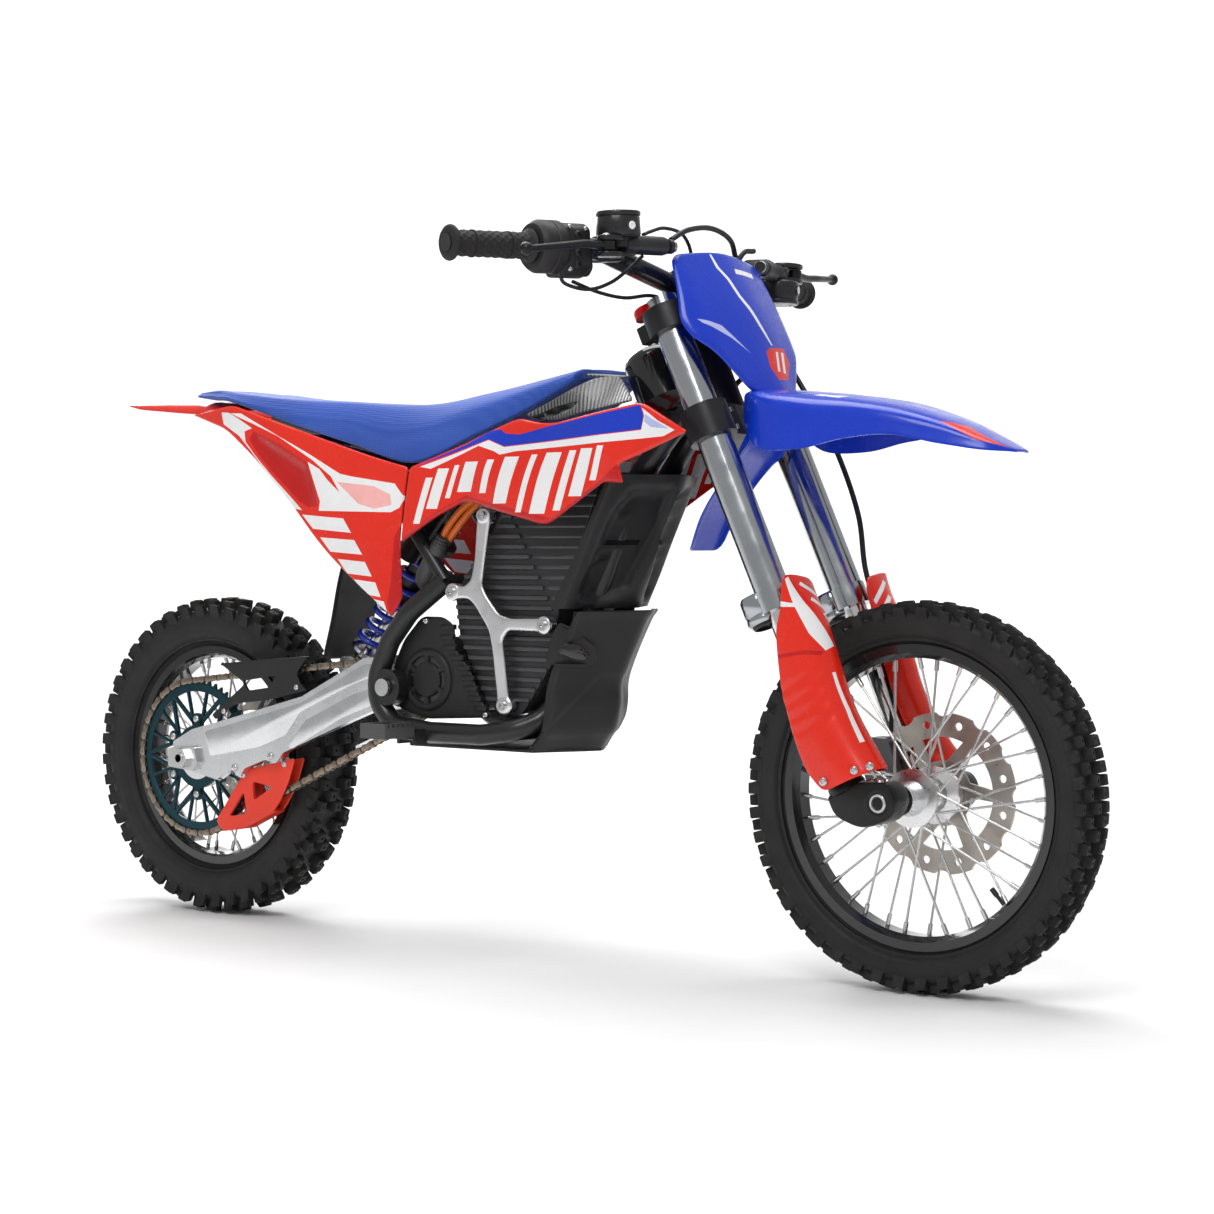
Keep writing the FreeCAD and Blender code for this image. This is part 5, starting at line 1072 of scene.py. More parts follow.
# ---------------------------------------------------------------- seat
def make_seat():
    """Foam seat; stations are (x, half width, half width of the top, top, bottom)."""
    stations = [(14, 74, 62, 774, 766), (60, 84, 72, 776, 760), (110, 96, 80, 770, 754),
                (230, 101, 82, 758, 720), (350, 104, 80, 749, 688), (457, 104, 70, 745, 661),
                (560, 102, 62, 757, 693), (650, 92, 54, 773, 729), (712, 70, 44, 784, 766)]
    fine = spline(stations, 14)
    fine = fine[np.argsort(fine[:, 0])]

    def section(x, half, top_half, top, low):
        under = max(low + 0.5, top - 40)
        ring = [(half - 14, low + 0.8), (half - 4, low), (half - 0.4, low + 2.2),
                (half, low + 6.0 if top - low > 14 else low + 0.4 * (top - low)),
                (half - 1.5, low + 0.40 * (top - low)), (half - 6, low + 0.62 * (top - low)),
                (0.5 * (half + top_half) - 2, low + 0.82 * (top - low)),
                (top_half, low + 0.955 * (top - low)), (top_half * 0.72, top - 0.8),
                (top_half * 0.36, top - 0.1), (0, top)]
        right = spline(ring, 4)
        full = [(-y, z) for y, z in right] + [(y, z) for y, z in right[-2::-1]]
        under_row = [(y, under if abs(y) < half - 16 else low + 0.8)
                     for y in (half - 15, half - 20, 0, -(half - 20), -(half - 15))]
        return [(x, y, z) for y, z in full + under_row]

    sections = [section(*row) for row in fine]
    verts = np.vstack([np.array(s) for s in sections])
    faces = loft_faces(len(sections), len(sections[0]))
    # the cover waves a little on the flanks and on top, with a sunk seam below the top edge
    x, y, z = verts.copy().T
    wave = (np.sin(x / 37.0 + 1.3 * np.sin(y / 31.0)) * 0.5 + np.sin(x / 19.0 + y / 27.0) * 0.25)
    flank = np.clip((np.abs(y) - 60) / 40, 0, 1)
    verts[:, 1] += np.sign(y) * flank * wave * 1.2
    lows = np.interp(x, fine[:, 0], fine[:, 4])
    tops = np.interp(x, fine[:, 0], fine[:, 3])
    share = np.clip((z - lows) / np.maximum(tops - lows, 1), 0, 1)
    verts[:, 2] += np.where(share > 0.9, wave * 0.8 - 0.6, 0)
    seam = np.exp(-((share - 0.90) / 0.02) ** 2) * (np.abs(y) > 20)
    verts[:, 1] -= np.sign(y) * seam
    made = piece("padded_seat", bike_rows(*verts.T), faces, "seat_grip", "frame", replaces=["seat"],
                 modifiers=[("SUBSURF", {"levels": 1, "render_levels": 1})], sharp=70)


make_seat()


# ---------------------------------------------------------------- battery, braces, drive cover
BATTERY = [(514, 484), (548, 528), (606, 600), (640, 645), (766, 645), (692, 470), (682, 395),
           (630, 324), (606, 352)]
CHEEK = BATTERY[:-1] + [(590, 322), (566, 345), (545, 385), (522, 425)]
FIN_PITCH = 13.6


def crossings(polygon, z):
    """Where a level line crosses an outline."""
    found = []
    ring = np.array(polygon, float)
    for (x0, z0), (x1, z1) in zip(ring, np.roll(ring, -1, 0)):
        if (z0 > z) != (z1 > z):
            found.append(x0 + (x1 - x0) * (z - z0) / (z1 - z0))
    return sorted(found)


def bar_along_x(shape, x0, x1, section):
    """Bar from x0 to x1 whose section is (y, z) points; ends pulled in a little."""
    centre_y = sum(y for y, z in section) / len(section)
    centre_z = sum(z for y, z in section) / len(section)
    stations = ((x0, 0.7), (x0 + 1.2, 1.0), (x1 - 1.2, 1.0), (x1, 0.7))
    verts = [bike(x, centre_y + (y - centre_y) * share, centre_z + (z - centre_z) * share)
             for x, share in stations for y, z in section]
    shape.add(verts, loft_faces(len(stations), len(section)))


def make_battery():
    """Core and side plates with rows of fins, split along a slanted line."""
    shape = Shape()
    core = rounded(BATTERY, 8)
    shape.prism(core, -75, 75, flank, 2.0, tint=1)
    cheek = rounded(CHEEK, 6)
    for low, high in ((-80, -69), (69, 80)):
        shape.prism(cheek, low, high, flank, 1.5, tint=1)
    for side in (-1, 1):
        z = 340.0
        while z < 640:
            low = z
            z += FIN_PITCH
            found = crossings(CHEEK, low + 3.5)
            if len(found) < 2:
                continue
            x0, x1 = found[0], found[-1]
            split = 622 + (585 - z) * 0.565
            runs = []
            if split - x0 > 14:
                runs.append((x0 + 0.5, min(split, x1) - 1.5, 83.6))
            if x1 - split > 12:
                runs.append((max(split, x0) + 1.5, x1 - 0.5, 80.5))
            for a, b, out in runs:
                ring = [(side * 72, low - 0.6), (side * (out - 1.8), low),
                        (side * (out - 0.4), low + 0.9), (side * out, low + 3.2),
                        (side * (out - 0.5), low + 5.6), (side * (out - 2.0), low + 6.4),
                        (side * 72, low + 7.4)]
                bar_along_x(shape, a, b, ring)
    shape.piece("finned_battery_case", ["battery_fins", "battery_cast"], "frame",
                replaces=["battery_case"], sharp=40)


BRACE = [(567, 592), (570, 600), (578, 603), (586, 600), (590, 592), (584, 560), (574, 497),
         (582, 482), (604, 457), (622, 452), (671, 453), (680, 457), (689, 452), (693, 444),
         (689, 436), (680, 431), (671, 435), (620, 436), (609, 424), (619, 348), (625, 341),
         (626, 333), (621, 325), (612, 322), (603, 325), (598, 333), (601, 345), (592, 412),
         (586, 436), (564, 466), (552, 477), (534, 477), (524, 473), (515, 477), (510, 486),
         (515, 495), (524, 499), (534, 495), (544, 494), (556, 503), (562, 530)]


def make_braces():
    """Forged brace with four ends on each side, a round boss at each end's bolt."""
    shape = Shape()
    outline = rounded(BRACE, 6, 3)
    shell(shape, patch(outline, flat_place(99), (), 4.5, 4.2), 0.004)
    shape.mirrored()
    for x, z in ((578, 589), (524, 486), (680, 444), (612, 336)):
        for side in (-1, 1):
            matrix = facing(bike(x, side * 84, z), (0, side, 0))
            shape.lathe([(11.5, 0), (11.5, 14.8), (9.5, 16.2), (7, 16.2)], matrix, 28)
    shape.piece("battery_braces_forged", ["brace_silver"], "frame",
                replaces=["battery_braces"], sharp=50)


def make_drive_cover():
    """Flat cover with ribs along its front edge and a spoked round dish."""
    shape = Shape()
    outline = rounded([(404, 352), (412, 386), (430, 420), (462, 452), (500, 452), (520, 440),
                       (520, 410), (548, 380), (566, 340), (586, 318), (470, 312),
                       (424, 322)], 9)
    shell(shape, patch(outline, flat_place(90.5), (), 7.0, 4.0), 0.0045)
    edge = spline([(519, 440), (519, 412), (546, 381), (565, 341), (580, 320)], 8)
    z = 326.0
    while z < 440:
        x = float(np.interp(z, edge[::-1, 1], edge[::-1, 0]))
        ring = [(-84, z), (-92.6, z + 0.4), (-93.4, z + 2), (-93.4, z + 5.0), (-92.6, z + 6.4),
                (-84, z + 7)]
        bar_along_x(shape, x - 20, x + 2.5, ring)
        z += FIN_PITCH
    matrix = facing(bike(474, -86, 366), (0, -1, 0))
    ring = [(43, 0), (43, 5.0), (41.5, 7.6), (38.5, 9.4), (35, 9.4), (33.2, 8.4), (32.5, 5.4),
            (31, 5.4), (31, 0)]
    shape.lathe(ring, matrix, 72, closed=True)
    shape.lathe([(32, 3.6), (32, 5.1), (4, 5.1)], matrix, 48, tint=1)
    dome = [(24, 4.0), (24, 7.4), (22.5, 9.0), (12, 9.8), (2, 10.0)]
    shape.lathe(dome, matrix, 48)
    for i in range(6):
        angle = math.radians(60 * i + 30)
        across = Vector((math.cos(angle), math.sin(angle), 0))
        wide = Vector((-math.sin(angle), math.cos(angle), 0))
        verts = []
        for r, w in ((22, 3.4), (33.5, 5.4)):
            for s, h in ((-1, 4.6), (1, 4.6), (0.75, 8.4), (-0.75, 8.4)):
                p = across * r + wide * (s * w)
                verts.append(matrix @ Vector((p.x / 1000, p.y / 1000, h / 1000)))
        shape.add(verts, [(3, 2, 1, 0), (4, 5, 6, 7), (0, 1, 5, 4), (1, 2, 6, 5), (2, 3, 7, 6),
                          (3, 0, 4, 7)], 0)
    for x, z in ((471, 446), (576, 321), (416, 345)):
        ball_screw(shape, bike(x, -91, z), (0, -1, 0), 4.6, 3.0, 2)
    shape.piece("drive_cover_ribbed", ["black_plastic", "gloss_black", "bolt_steel"], "frame",
                replaces=["drive_cover"])


NOSE_FOLD, NOSE_HALF, NOSE_REACH = 0.69, 97, 52


def wrapped(shape, levels, half, relief, wall):
    """Thin wall round the front of the battery, open at the back.

    levels are (z, back, front); relief(u, z) gives an outward shift in mm and a tint, where u
    is x measured along the wall as if the nose were folded back flat.
    """
    fine = spline(levels, 7)
    plan = []
    for z, back, front in fine:
        right = [(back, -half), (0.5 * (back + front), -half), (front - 1, -half + 0.3),
                 (front + 7, -half * 0.94), (front + 0.50 * NOSE_REACH, -0.53 * half),
                 (front + 0.86 * NOSE_REACH, -0.21 * half), (front + NOSE_REACH, 0)]
        ring = right + [(x, -y) for x, y in reversed(right[:-1])]
        plan.append([(x, y, z) for x, y in spline(ring, 8)])
    grid = np.array(plan, float)
    rows, columns = grid.shape[:2]
    along = np.gradient(grid, axis=1)
    normal = np.stack([along[..., 1], -along[..., 0], np.zeros((rows, columns))], -1)
    normal /= np.linalg.norm(normal, axis=-1, keepdims=True)
    u = grid[..., 0] + NOSE_FOLD * (NOSE_HALF - np.abs(grid[..., 1]))
    shift, tint = relief(u, grid[..., 2])
    grid = grid + normal * shift[..., None]
    verts = bike_rows(*grid.reshape(-1, 3).T)
    tris, colours = [], []
    for k in range(rows - 1):
        for i in range(columns - 1):
            a = k * columns + i
            c = a + columns + 1
            tris += [(a, a + 1, c), (a, c, c - 1)]
            colours += [int(tint[k, i])] * 2
    shell(shape, (verts, np.array(tris), np.array(colours)), wall / 1000)


def swell(u, z, polygon, height, slope):
    """Height of a raised (or sunk) patch with sloping edges."""
    points = np.stack([u.ravel(), z.ravel()], 1)
    ring = np.array(polygon, float)
    inner = inside(points, ring)
    away = edge_distance(points, ring)
    return (np.where(inner, np.clip(away / slope, 0, 1), 0) * height).reshape(u.shape)


def make_belly_guard():
    """Wall round the nose, floor, rear lip, and an ear with a dark oval on the right."""
    shape = Shape()

    def relief(u, z):
        ridge = np.clip(((u - 757) - (z - 371) * 1.21) / 10, 0, 1)
        sunk = 2.4 * ridge * np.clip((380 - z) / 8, 0, 1)
        return 2.2 * np.clip((z - 452) / 8, 0, 1) - sunk, np.zeros(u.shape, int)

    wrapped(shape, [(276, 640, 650), (290, 654, 660), (300, 664, 670), (312, 668, 676),
                    (337, 672, 681), (363, 676, 682), (389, 686, 691), (428, 705, 710),
                    (462, 725, 729)], 85.0, relief, 3.2)
    right = [(436, -85), (650, -85), (676, -45), (695, -16)]
    floor = rounded(right + [(702, 0)] + [(x, -y) for x, y in reversed(right)], 3)
    shape.prism(floor, 273.5, 278.5, bike, 1.6)
    boss = rounded([(684, 393), (696, 432), (709, 450), (762, 414), (762, 396), (745, 390)], 8)
    window = rounded([(706, 410), (714, 421), (734, 418), (750, 408), (744, 398), (722, 400)], 7)

    def on_wall(u, z, depth):
        """A point on the right flank up to the corner, then on the slanted nose."""
        past = max(0.0, u - 716) / 54
        x, y = min(u, 716) - 8 + 26 * past, -85 + 41 * past
        if past > 0:
            return bike(x + depth * 0.84, y - depth * 0.53, z)
        return bike(x, y - depth, z)

    shape.prism(densify(boss, 6.0), 0, 6.5, on_wall, 1.6)
    shape.prism(densify(window, 6.0), 5.5, 7.0, on_wall, 0.5, tint=1)
    lip = rounded([(436, 274), (446, 274), (440, 288), (436, 288)], 1.5)
    shape.prism(lip, -85, 85, flank, 1.0)
    shape.piece("belly_guard_moulded", ["black_plastic", "gloss_black"], "frame",
                replaces=["belly_guard"])


def make_side_covers():
    """One cover round the nose above the guard, with a sunk pocket on both flanks."""
    shape = Shape()
    pocket = [(821, 628), (888, 628), (897, 614), (875, 563), (821, 486), (768, 471),
              (742, 475), (735, 492), (756, 531), (786, 590)]
    slats = ((612, 790, 822), (588, 780, 820), (549, 766, 834), (531, 752, 790))

    def relief(u, z):
        sunk = swell(u, z, pocket, 15.0, 14.0)
        for level, u0, u1 in slats:
            near = np.exp(-((z - level) / 3.2) ** 2) * (u > u0) * (u < u1)
            sunk = sunk * (1 - 0.4 * near)
        # where a pocket sinks deeper than 9 mm its floor is painted near-black, painted shade in
        # the recess
        return -sunk, (sunk > 9).astype(int)

    wrapped(shape, [(466, 690, 705), (510, 716, 727), (556, 741, 748), (606, 766, 772),
                    (640, 784, 788)], 97.0, relief, 3.0)
    shape.piece("front_cover_with_ducts", ["black_plastic", "pocket_painted_shade"], "frame",
                replaces=["side_covers"])


make_battery()
make_braces()
make_drive_cover()
make_belly_guard()
make_side_covers()


# ---------------------------------------------------------------- swingarm dress, chain
def make_swingarm_faces():
    """Raised bands on the outer faces of both arms."""
    shape = Shape()
    upper = rounded([(40, 276), (94, 289), (233, 325), (352, 383), (380, 383), (386, 372),
                     (330, 354), (232, 312), (204, 278), (150, 258), (50, 240)], 6)
    lower = rounded([(206, 262), (240, 300), (330, 340), (388, 356), (388, 334), (310, 306),
                     (214, 258)], 5)
    for ring, out in ((upper, 86.4), (lower, 85.4)):
        for place in (right_flank, flank):
            shape.prism(ring, 83.0, out, place, 0.8)
    for x, z in ((172, 246), (100, 226)):
        for side in (-1, 1):
            ball_screw(shape, bike(x, side * 84, z), (0, side, 0), 5.4, 3.2, 1)
    shape.piece("swingarm_faces", ["polished_aluminium", "bolt_steel"], "swingarm",
                slot="polished_aluminium")


CHAIN_PITCH, CHAIN_LINE = 12.7, -60
REAR_TEETH, DRIVE_TEETH = 56, 15
LINK_ROUND, LINK_WAIST = 5.2, 3.6
OUTER_PLATE, INNER_PLATE = (4.25, 5.3), (3.1, 4.15)


def chain_path():
    """Closed pitch line round both sprockets: rows of x and z in mm."""
    rear, front = Vector((0, 235.5)), Vector((495, 372))
    big = CHAIN_PITCH / (2 * math.sin(math.pi / REAR_TEETH))
    small = CHAIN_PITCH / (2 * math.sin(math.pi / DRIVE_TEETH))
    line = front - rear
    slope = math.atan2(line.y, line.x)
    spread = math.asin((big - small) / line.length)
    top = math.pi / 2 + slope - spread
    low = -math.pi / 2 + slope + spread
    dense = []
    for a in np.linspace(top, low + 2 * math.pi, 240):
        dense.append((rear.x + big * math.cos(a), rear.y + big * math.sin(a)))
    for a in np.linspace(low, top, 60):
        dense.append((front.x + small * math.cos(a), front.y + small * math.sin(a)))
    dense.append(dense[0])
    return np.array(dense)


def make_chain():
    """Separate links round the pitch line: two plates, a roller and a pin each."""
    path = chain_path()
    lengths = arc_lengths(path)
    total = lengths[-1]
    count = 2 * round(total / CHAIN_PITCH / 2)
    pitch = total / count

    def at(s):
        s %= total
        return np.array([np.interp(s, lengths, path[:, 0]), np.interp(s, lengths, path[:, 1])])

    shape = Shape()
    for i in range(count):
        a, b = at(i * pitch), at((i + 1) * pitch)
        along = (b - a) / np.linalg.norm(b - a)
        across = np.array([-along[1], along[0]])
        outer = i % 2 == 0
        ring = []
        for centre, start in ((b, -70), (a, 110)):
            for angle in (0, 35, 70, 105, 140):
                t = math.radians(start + angle)
                ring.append(centre + LINK_ROUND * (math.cos(t) * along + math.sin(t) * across))
            ring.append(0.5 * (a + b) + across * (LINK_WAIST if start < 0 else -LINK_WAIST))
        low, high = OUTER_PLATE if outer else INNER_PLATE
        for side in (-1, 1):
            shape.prism(ring, low, high, lambda x, z, y: bike(x, CHAIN_LINE + side * y, z),
                        0.3, tint=0 if outer else 1)
        matrix = facing(bike(a[0], CHAIN_LINE, a[1]), (0, 1, 0))
        shape.lathe([(3.9, -3.0), (3.9, 3.0)], matrix, 12, tint=1)
        shape.lathe([(1.7, -6.0), (1.9, -5.6), (1.9, 5.6), (1.7, 6.0)], matrix, 10, tint=2)
    shape.piece("roller_chain", ["chain_steel", "chain_dark", "chain_steel"], "swingarm",
                replaces=["drive_chain"], sharp=35)


def make_chain_guard():
    shape = Shape()
    ring = rounded([(61, 376), (150, 384), (236, 391), (214, 366), (222, 350), (234, 342),
                    (160, 326), (90, 318), (52, 293), (44, 300), (112, 348)],
                   [3, 20, 3, 6, 8, 4, 20, 20, 4, 4, 8])
    window = rounded([(108, 352), (176, 362), (160, 344), (118, 338)], 4)
    shell(shape, patch(ring, flat_place(75.6), (), 6.0, 1.6, holes=[window]), 0.0042)
    lip = [(61, 373), (150, 381), (236, 388), (236, 391), (150, 384), (61, 376)]
    shape.prism(lip, 51, 73, right_flank, 0.8)
    for x, z in ((70, 306), (215, 346)):
        ball_screw(shape, bike(x, -75.6, z), (0, -1, 0), 4.2, 2.6, 1)
    shape.piece("chain_guard_moulded", ["black_plastic", "bolt_steel"], "swingarm",
                replaces=["chain_guard"])


def make_chain_guide():
    shape = Shape()
    ring = rounded([(206, 244), (106, 222), (90, 200), (46, 144), (60, 129), (106, 136),
                    (166, 164), (192, 206)], [6, 14, 20, 14, 14, 20, 20, 10])
    upper = rounded([(122, 206), (162, 200), (124, 178)], 6)
    lower = rounded([(104, 190), (110, 158), (74, 152)], 6)
    for y_out, thick in ((70.4, 4.4), (50.2, 4.2)):
        shell(shape, patch(ring, flat_place(y_out), (), 6.0, 2.2, holes=[upper, lower]),
              thick / 1000)
    base = rounded([(46, 144), (60, 129), (106, 136), (166, 164), (160, 170), (104, 143),
                    (62, 137), (52, 148)], 3)
    shape.prism(base, 47, 69, right_flank, 1.0)
    for x, z in ((104, 214), (186, 234)):
        ball_screw(shape, bike(x, -70.2, z), (0, -1, 0), 4.4, 2.6, 1)
    shape.piece("chain_guide_moulded", ["guide_red", "bolt_steel"], "swingarm",
                replaces=["chain_guide"])


make_swingarm_faces()
make_chain()
make_chain_guard()
make_chain_guide()


# ---------------------------------------------------------------- shock, plug and leads
SHOCK_LOW, SHOCK_TOP = bike(266, 0, 376), bike(486, 0, 640)
SHOCK_UP = (SHOCK_TOP - SHOCK_LOW).normalized()


def make_spring():
    """Coil round the shock, carried on the shock's upper body."""
    matrix = facing(SHOCK_LOW, SHOCK_UP)
    turns, low, high, steps = 7.6, 39.5, 219.5, 420
    coil, wire = 0.0225, 0.0045
    path = []
    for i in range(steps):
        t = i / (steps - 1)
        angle = 2 * math.pi * turns * t
        rise = low + (high - low) * (t * 0.94 + 0.03 + 0.03 * math.cos(math.pi * (1 + t)))
        path.append(matrix @ Vector((coil * math.cos(angle), coil * math.sin(angle),
                                     rise / 1000)))
    verts, faces = sweep(path, wire, 12)
    made = piece("shock_coil", verts, faces, "spring_blue", "shock_upper",
                 replaces=["shock_spring"], sharp=50)
    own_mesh(made)


def make_plug_and_leads():
    """Rubber boot, its lug, and two orange leads."""
    shape = Shape()

    def point(x, z, y=-74):
        return bike(x, y, z)

    boot = [point(452, 497), point(457, 506), point(472, 533), point(484, 556), point(488, 562)]
    shape.sweep(boot, [0.0125, 0.015, 0.0135, 0.0095, 0.0085], 20)
    for i in range(4):
        middle = point(480, 549).lerp(point(487, 560), i / 3)
        ahead = (point(487, 560) - point(480, 549)).normalized()
        matrix = facing(middle, ahead)
        shape.lathe([(8, -1), (11.5, -0.7), (11.5, 0.7), (8, 1)], matrix, 20)
    for shift, back in ((0, 0), (13, -6)):
        lead = spline([tuple(point(484 + shift * 0.6, 556, -74 - back)),
                       tuple(point(500 + shift, 580, -72 - back)),
                       tuple(point(520 + shift, 602, -66 - back)),
                       tuple(point(546 + shift, 620, -56 - back))], 6)
        shape.sweep([Vector(p) for p in lead], 0.0048, 12, tint=1)
    lug = rounded([(440, 500), (474, 520), (500, 512), (486, 488), (452, 486)], 6)
    shape.prism(lug, 64, 80, right_flank, 2.0)
    shape.piece("battery_plug_and_leads", ["plug_grey", "wire_orange"], "frame",
                slot="black_plastic")


make_spring()
make_plug_and_leads()


# ---------------------------------------------------------------- bar controls
def make_grip(left):
    """Hatched rubber grip with a flange inside and a cap at the bar's end."""
    matrix = GRIPS[left]
    shape = Shape()
    steps, rows = 72, 96
    hatches_round, hatch_length = 24, 6.0
    verts = []
    for k in range(rows + 1):
        z = 105 + 110 * k / rows
        base = 16.5 - 0.5 * k / rows
        for i in range(steps):
            angle = 2 * math.pi * i / steps
            u, v = angle * hatches_round / (2 * math.pi), z / hatch_length
            bump = max(0.0, math.sin(math.pi * (u + v))) * max(0.0, math.sin(math.pi * (u - v)))
            r = base - 0.9 + 1.4 * min(1.0, bump * 1.6)
            verts.append(matrix @ Vector((r * math.cos(angle) / 1000, r * math.sin(angle) / 1000,
                                          z / 1000)))
    shape.add(verts, loft_faces(rows + 1, steps))
    flange = [(11.4, 100), (20, 100), (21, 101), (21, 103), (20, 104), (17, 106), (15, 108),
              (11.4, 108)]
    shape.lathe(flange, matrix, 48, closed=True)
    cap = [(14, 212), (19, 213.5), (21.6, 215.4), (22, 217), (21.6, 218.8), (19, 221),
           (14, 222), (10, 221.4), (2, 221.0)]
    shape.lathe(cap, matrix, 48)
    for z in (134, 186):
        ring = [(15.6, z - 1.6), (16.9, z - 1.2), (16.9, z + 1.2), (15.6, z + 1.6)]
        shape.lathe(ring, matrix, 48, closed=True)
    name, body = ("left_grip", "steering") if left else ("throttle_grip", "throttle")
    shape.piece(f"{name}_ribbed", ["grip_rubber"], body, replaces=[name], sharp=60)


def make_throttle_housing():
    shape = Shape()
    matrix = GRIPS[False]
    drum = [(12, 60), (29, 60), (31, 61), (33, 65), (33, 76), (32, 77), (32, 79), (33, 80),
            (33, 91), (31, 95), (28, 99), (12, 99.5)]
    shape.lathe(drum, matrix, 56)
    ring = rounded([(-22, -36), (4, -38), (22, -26), (22, 22), (10, 30), (-16, 30), (-24, 16)],
                   [8, 8, 8, 6, 6, 8, 8])
    shape.prism(ring, 24, 64, lambda x, y, z: grip(False, x, y, z), 2.5)
    ring = rounded([(-16, -34), (8, -36), (18, -26), (14, 8), (-12, 8)], 5)
    shape.prism(ring, 18, 26, lambda x, y, z: grip(False, x, y, z), 2.0)
    for y in (14, -8, -22):
        place = grip(False, 21, y, 44)
        ball_screw(shape, place, grip(False, 33, y, 44) - place, 5.5, 3.5)
    for y, z in ((22, 32), (-28, 56), (24, 56)):
        place = grip(False, 21.6, y, z)
        ball_screw(shape, place, grip(False, 40, y, z) - place, 2.8, 1.8, 1)
    shape.piece("throttle_switch_housing", ["black_plastic", "bolt_steel"], "steering",
                replaces=["throttle_housing"])


def make_left_switch():
    shape = Shape()
    ring = rounded([(-22, -20), (14, -22), (18, -16), (18, 16), (12, 22), (-18, 20)], 5)
    shape.prism(ring, 62, 96, lambda x, y, z: grip(True, x, y, z), 2.2)
    for y, z in ((-14, 66), (15, 92)):
        place = grip(True, 17.6, y, z)
        ball_screw(shape, place, grip(True, 40, y, z) - place, 2.8, 1.8, 1)
    seat = facing(grip(True, 17.4, 6, 79), grip(True, 40, 6, 79) - grip(True, 17, 6, 79))
    shape.lathe([(8.2, 0), (8.2, 2.4), (6, 2.4), (5.4, 0)], seat, 32, closed=True)
    shape.piece("left_switch_block", ["black_plastic", "bolt_steel"], "steering",
                replaces=["left_switch"])
    button = Shape()
    place = grip(True, 12, 6, 79)
    matrix = facing(place, grip(True, 40, 6, 79) - place)
    button.lathe([(5, 0), (5, 9), (4.2, 9.8), (2.5, 10.0), (1.5, 9.5)], matrix, 28, tint=0)
    button.piece("stop_button_cap", ["button_red"], "stop", replaces=["stop_button"])


def make_master_cylinders():
    """Fluid pots, barrels and clamps of both brakes, the left one hanging upside down."""
    shape = Shape()
    for left in (False, True):
        up = -1 if left else 1

        def at(x, y, z):
            return grip(left, x, up * y, z)

        def upright(x, y, z):
            place = at(x, y, z)
            return facing(place, at(x, y + 10, z) - place)

        pot = [(24.5, -2), (27, 0), (28, 2), (27, 22), (26, 24), (27.6, 24.4), (28, 25.4),
               (28, 28.6), (27, 30), (23, 30.2), (4, 30.6)]
        shape.lathe(pot, upright(30, 14, -12), 56)
        for a in (math.radians(45), math.radians(225)):
            place = at(30 + 20 * math.cos(a), 44, -12 + 20 * math.sin(a))
            ball_screw(shape, place, at(30, 60, -12) - at(30, 44, -12), 3.0, 1.6, 2)
        glass = at(56.6, 25, -12)
        out = at(80, 25, -12) - glass
        ball_screw(shape, glass, out, 8.0, 2.6, 0)
        ball_screw(shape, at(58.2, 25, -12), out, 5.4, 1.6, 1)
        shape.lathe([(13, -8), (13, 8)], upright(30, 8, -12), 32)
        matrix = facing(at(29, 4, -98), at(29, 4, 40) - at(29, 4, 20))
        barrel = [(7, -2), (7.5, 0), (7.5, 3), (9.5, 3.4), (9.5, 9), (7, 9.4), (7, 12),
                  (11, 14), (12, 18), (12, 60), (13.5, 62), (13.5, 80), (11, 82)]
        shape.lathe(barrel, matrix, 36)
        shape.lathe([(7.6, 0.4), (8.4, 0.8), (8.4, 2.2), (7.6, 2.6)], matrix, 28,
                    closed=True, tint=2)
        ring = rounded([(-18, -17), (24, -17), (26, 17), (-18, 17)], 9)
        shape.prism(ring, -24, -2, at, 2.0)
        for lug in (8.5, -11.5):
            ear = rounded([(24, -14), (44, -12), (56, 4), (56, 24), (42, 30), (24, 16)], 7)
            shape.prism(ear, lug - 2.0, lug + 4.2, lambda x, z, y: at(x, y, z), 1.2)
        ball_screw(shape, at(45, 12.4, 17), at(45, 30, 17) - at(45, 12, 17), 5.4, 2.8, 2)
        for y in (-12, 12):
            ball_screw(shape, at(-18, y, -13), at(-40, y, -13) - at(-18, y, -13), 3.0, 3.2, 2)
    shape.piece("brake_master_cylinders", ["master_black", "white_paint", "bolt_steel"],
                "steering", replaces=["master_cylinders"])


def make_levers():
    """Brake levers: blade, pivot boss and ball end."""
    for left in (False, True):
        up = -1 if left else 1
        shape = Shape()
        track = spline([(45, 0, 17), (48, 0, 34), (52, 0, 58), (57, up * -3, 84),
                        (60, up * -6, 112), (63, up * -9, 138), (65, up * -10, 149)], 6)
        verts = []
        sides = 14
        for k, (x, y, z) in enumerate(track):
            t = k / (len(track) - 1)
            knob_share = math.exp(-((t - 1) / 0.08) ** 2)
            wide = 8.6 - 3.4 * t + 2.2 * knob_share
            thick = 5.6 - 1.4 * t + 2.0 * knob_share
            if k == len(track) - 1:
                wide, thick = 4.0, 4.0
            for i in range(sides):
                a = 2 * math.pi * i / sides
                verts.append(grip(left, x + wide * 0.72 * math.cos(a),
                                  y + thick * math.sin(a), z))
        shape.add(verts, loft_faces(len(track), sides))
        place = grip(left, 45, -6, 17)
        matrix = facing(place, grip(left, 45, 6, 17) - place)
        shape.lathe([(8, 0), (9.5, 1), (9.5, 11), (8, 12)], matrix, 32)
        tip = grip(left, 64, up * -10, 150)
        ball = [(8 * math.sin(a), -8 * math.cos(a)) for a in np.linspace(0.15, math.pi - 0.15, 12)]
        shape.lathe(ball, Matrix.Translation(tip), 24)
        word = "left" if left else "right"
        shape.piece(f"{word}_lever_blade", ["lever_black"], f"{word}_lever",
                    replaces=[f"{word}_brake_lever"], sharp=55)


for left_side in (False, True):
    make_grip(left_side)
make_throttle_housing()
make_left_switch()
make_master_cylinders()
make_levers()


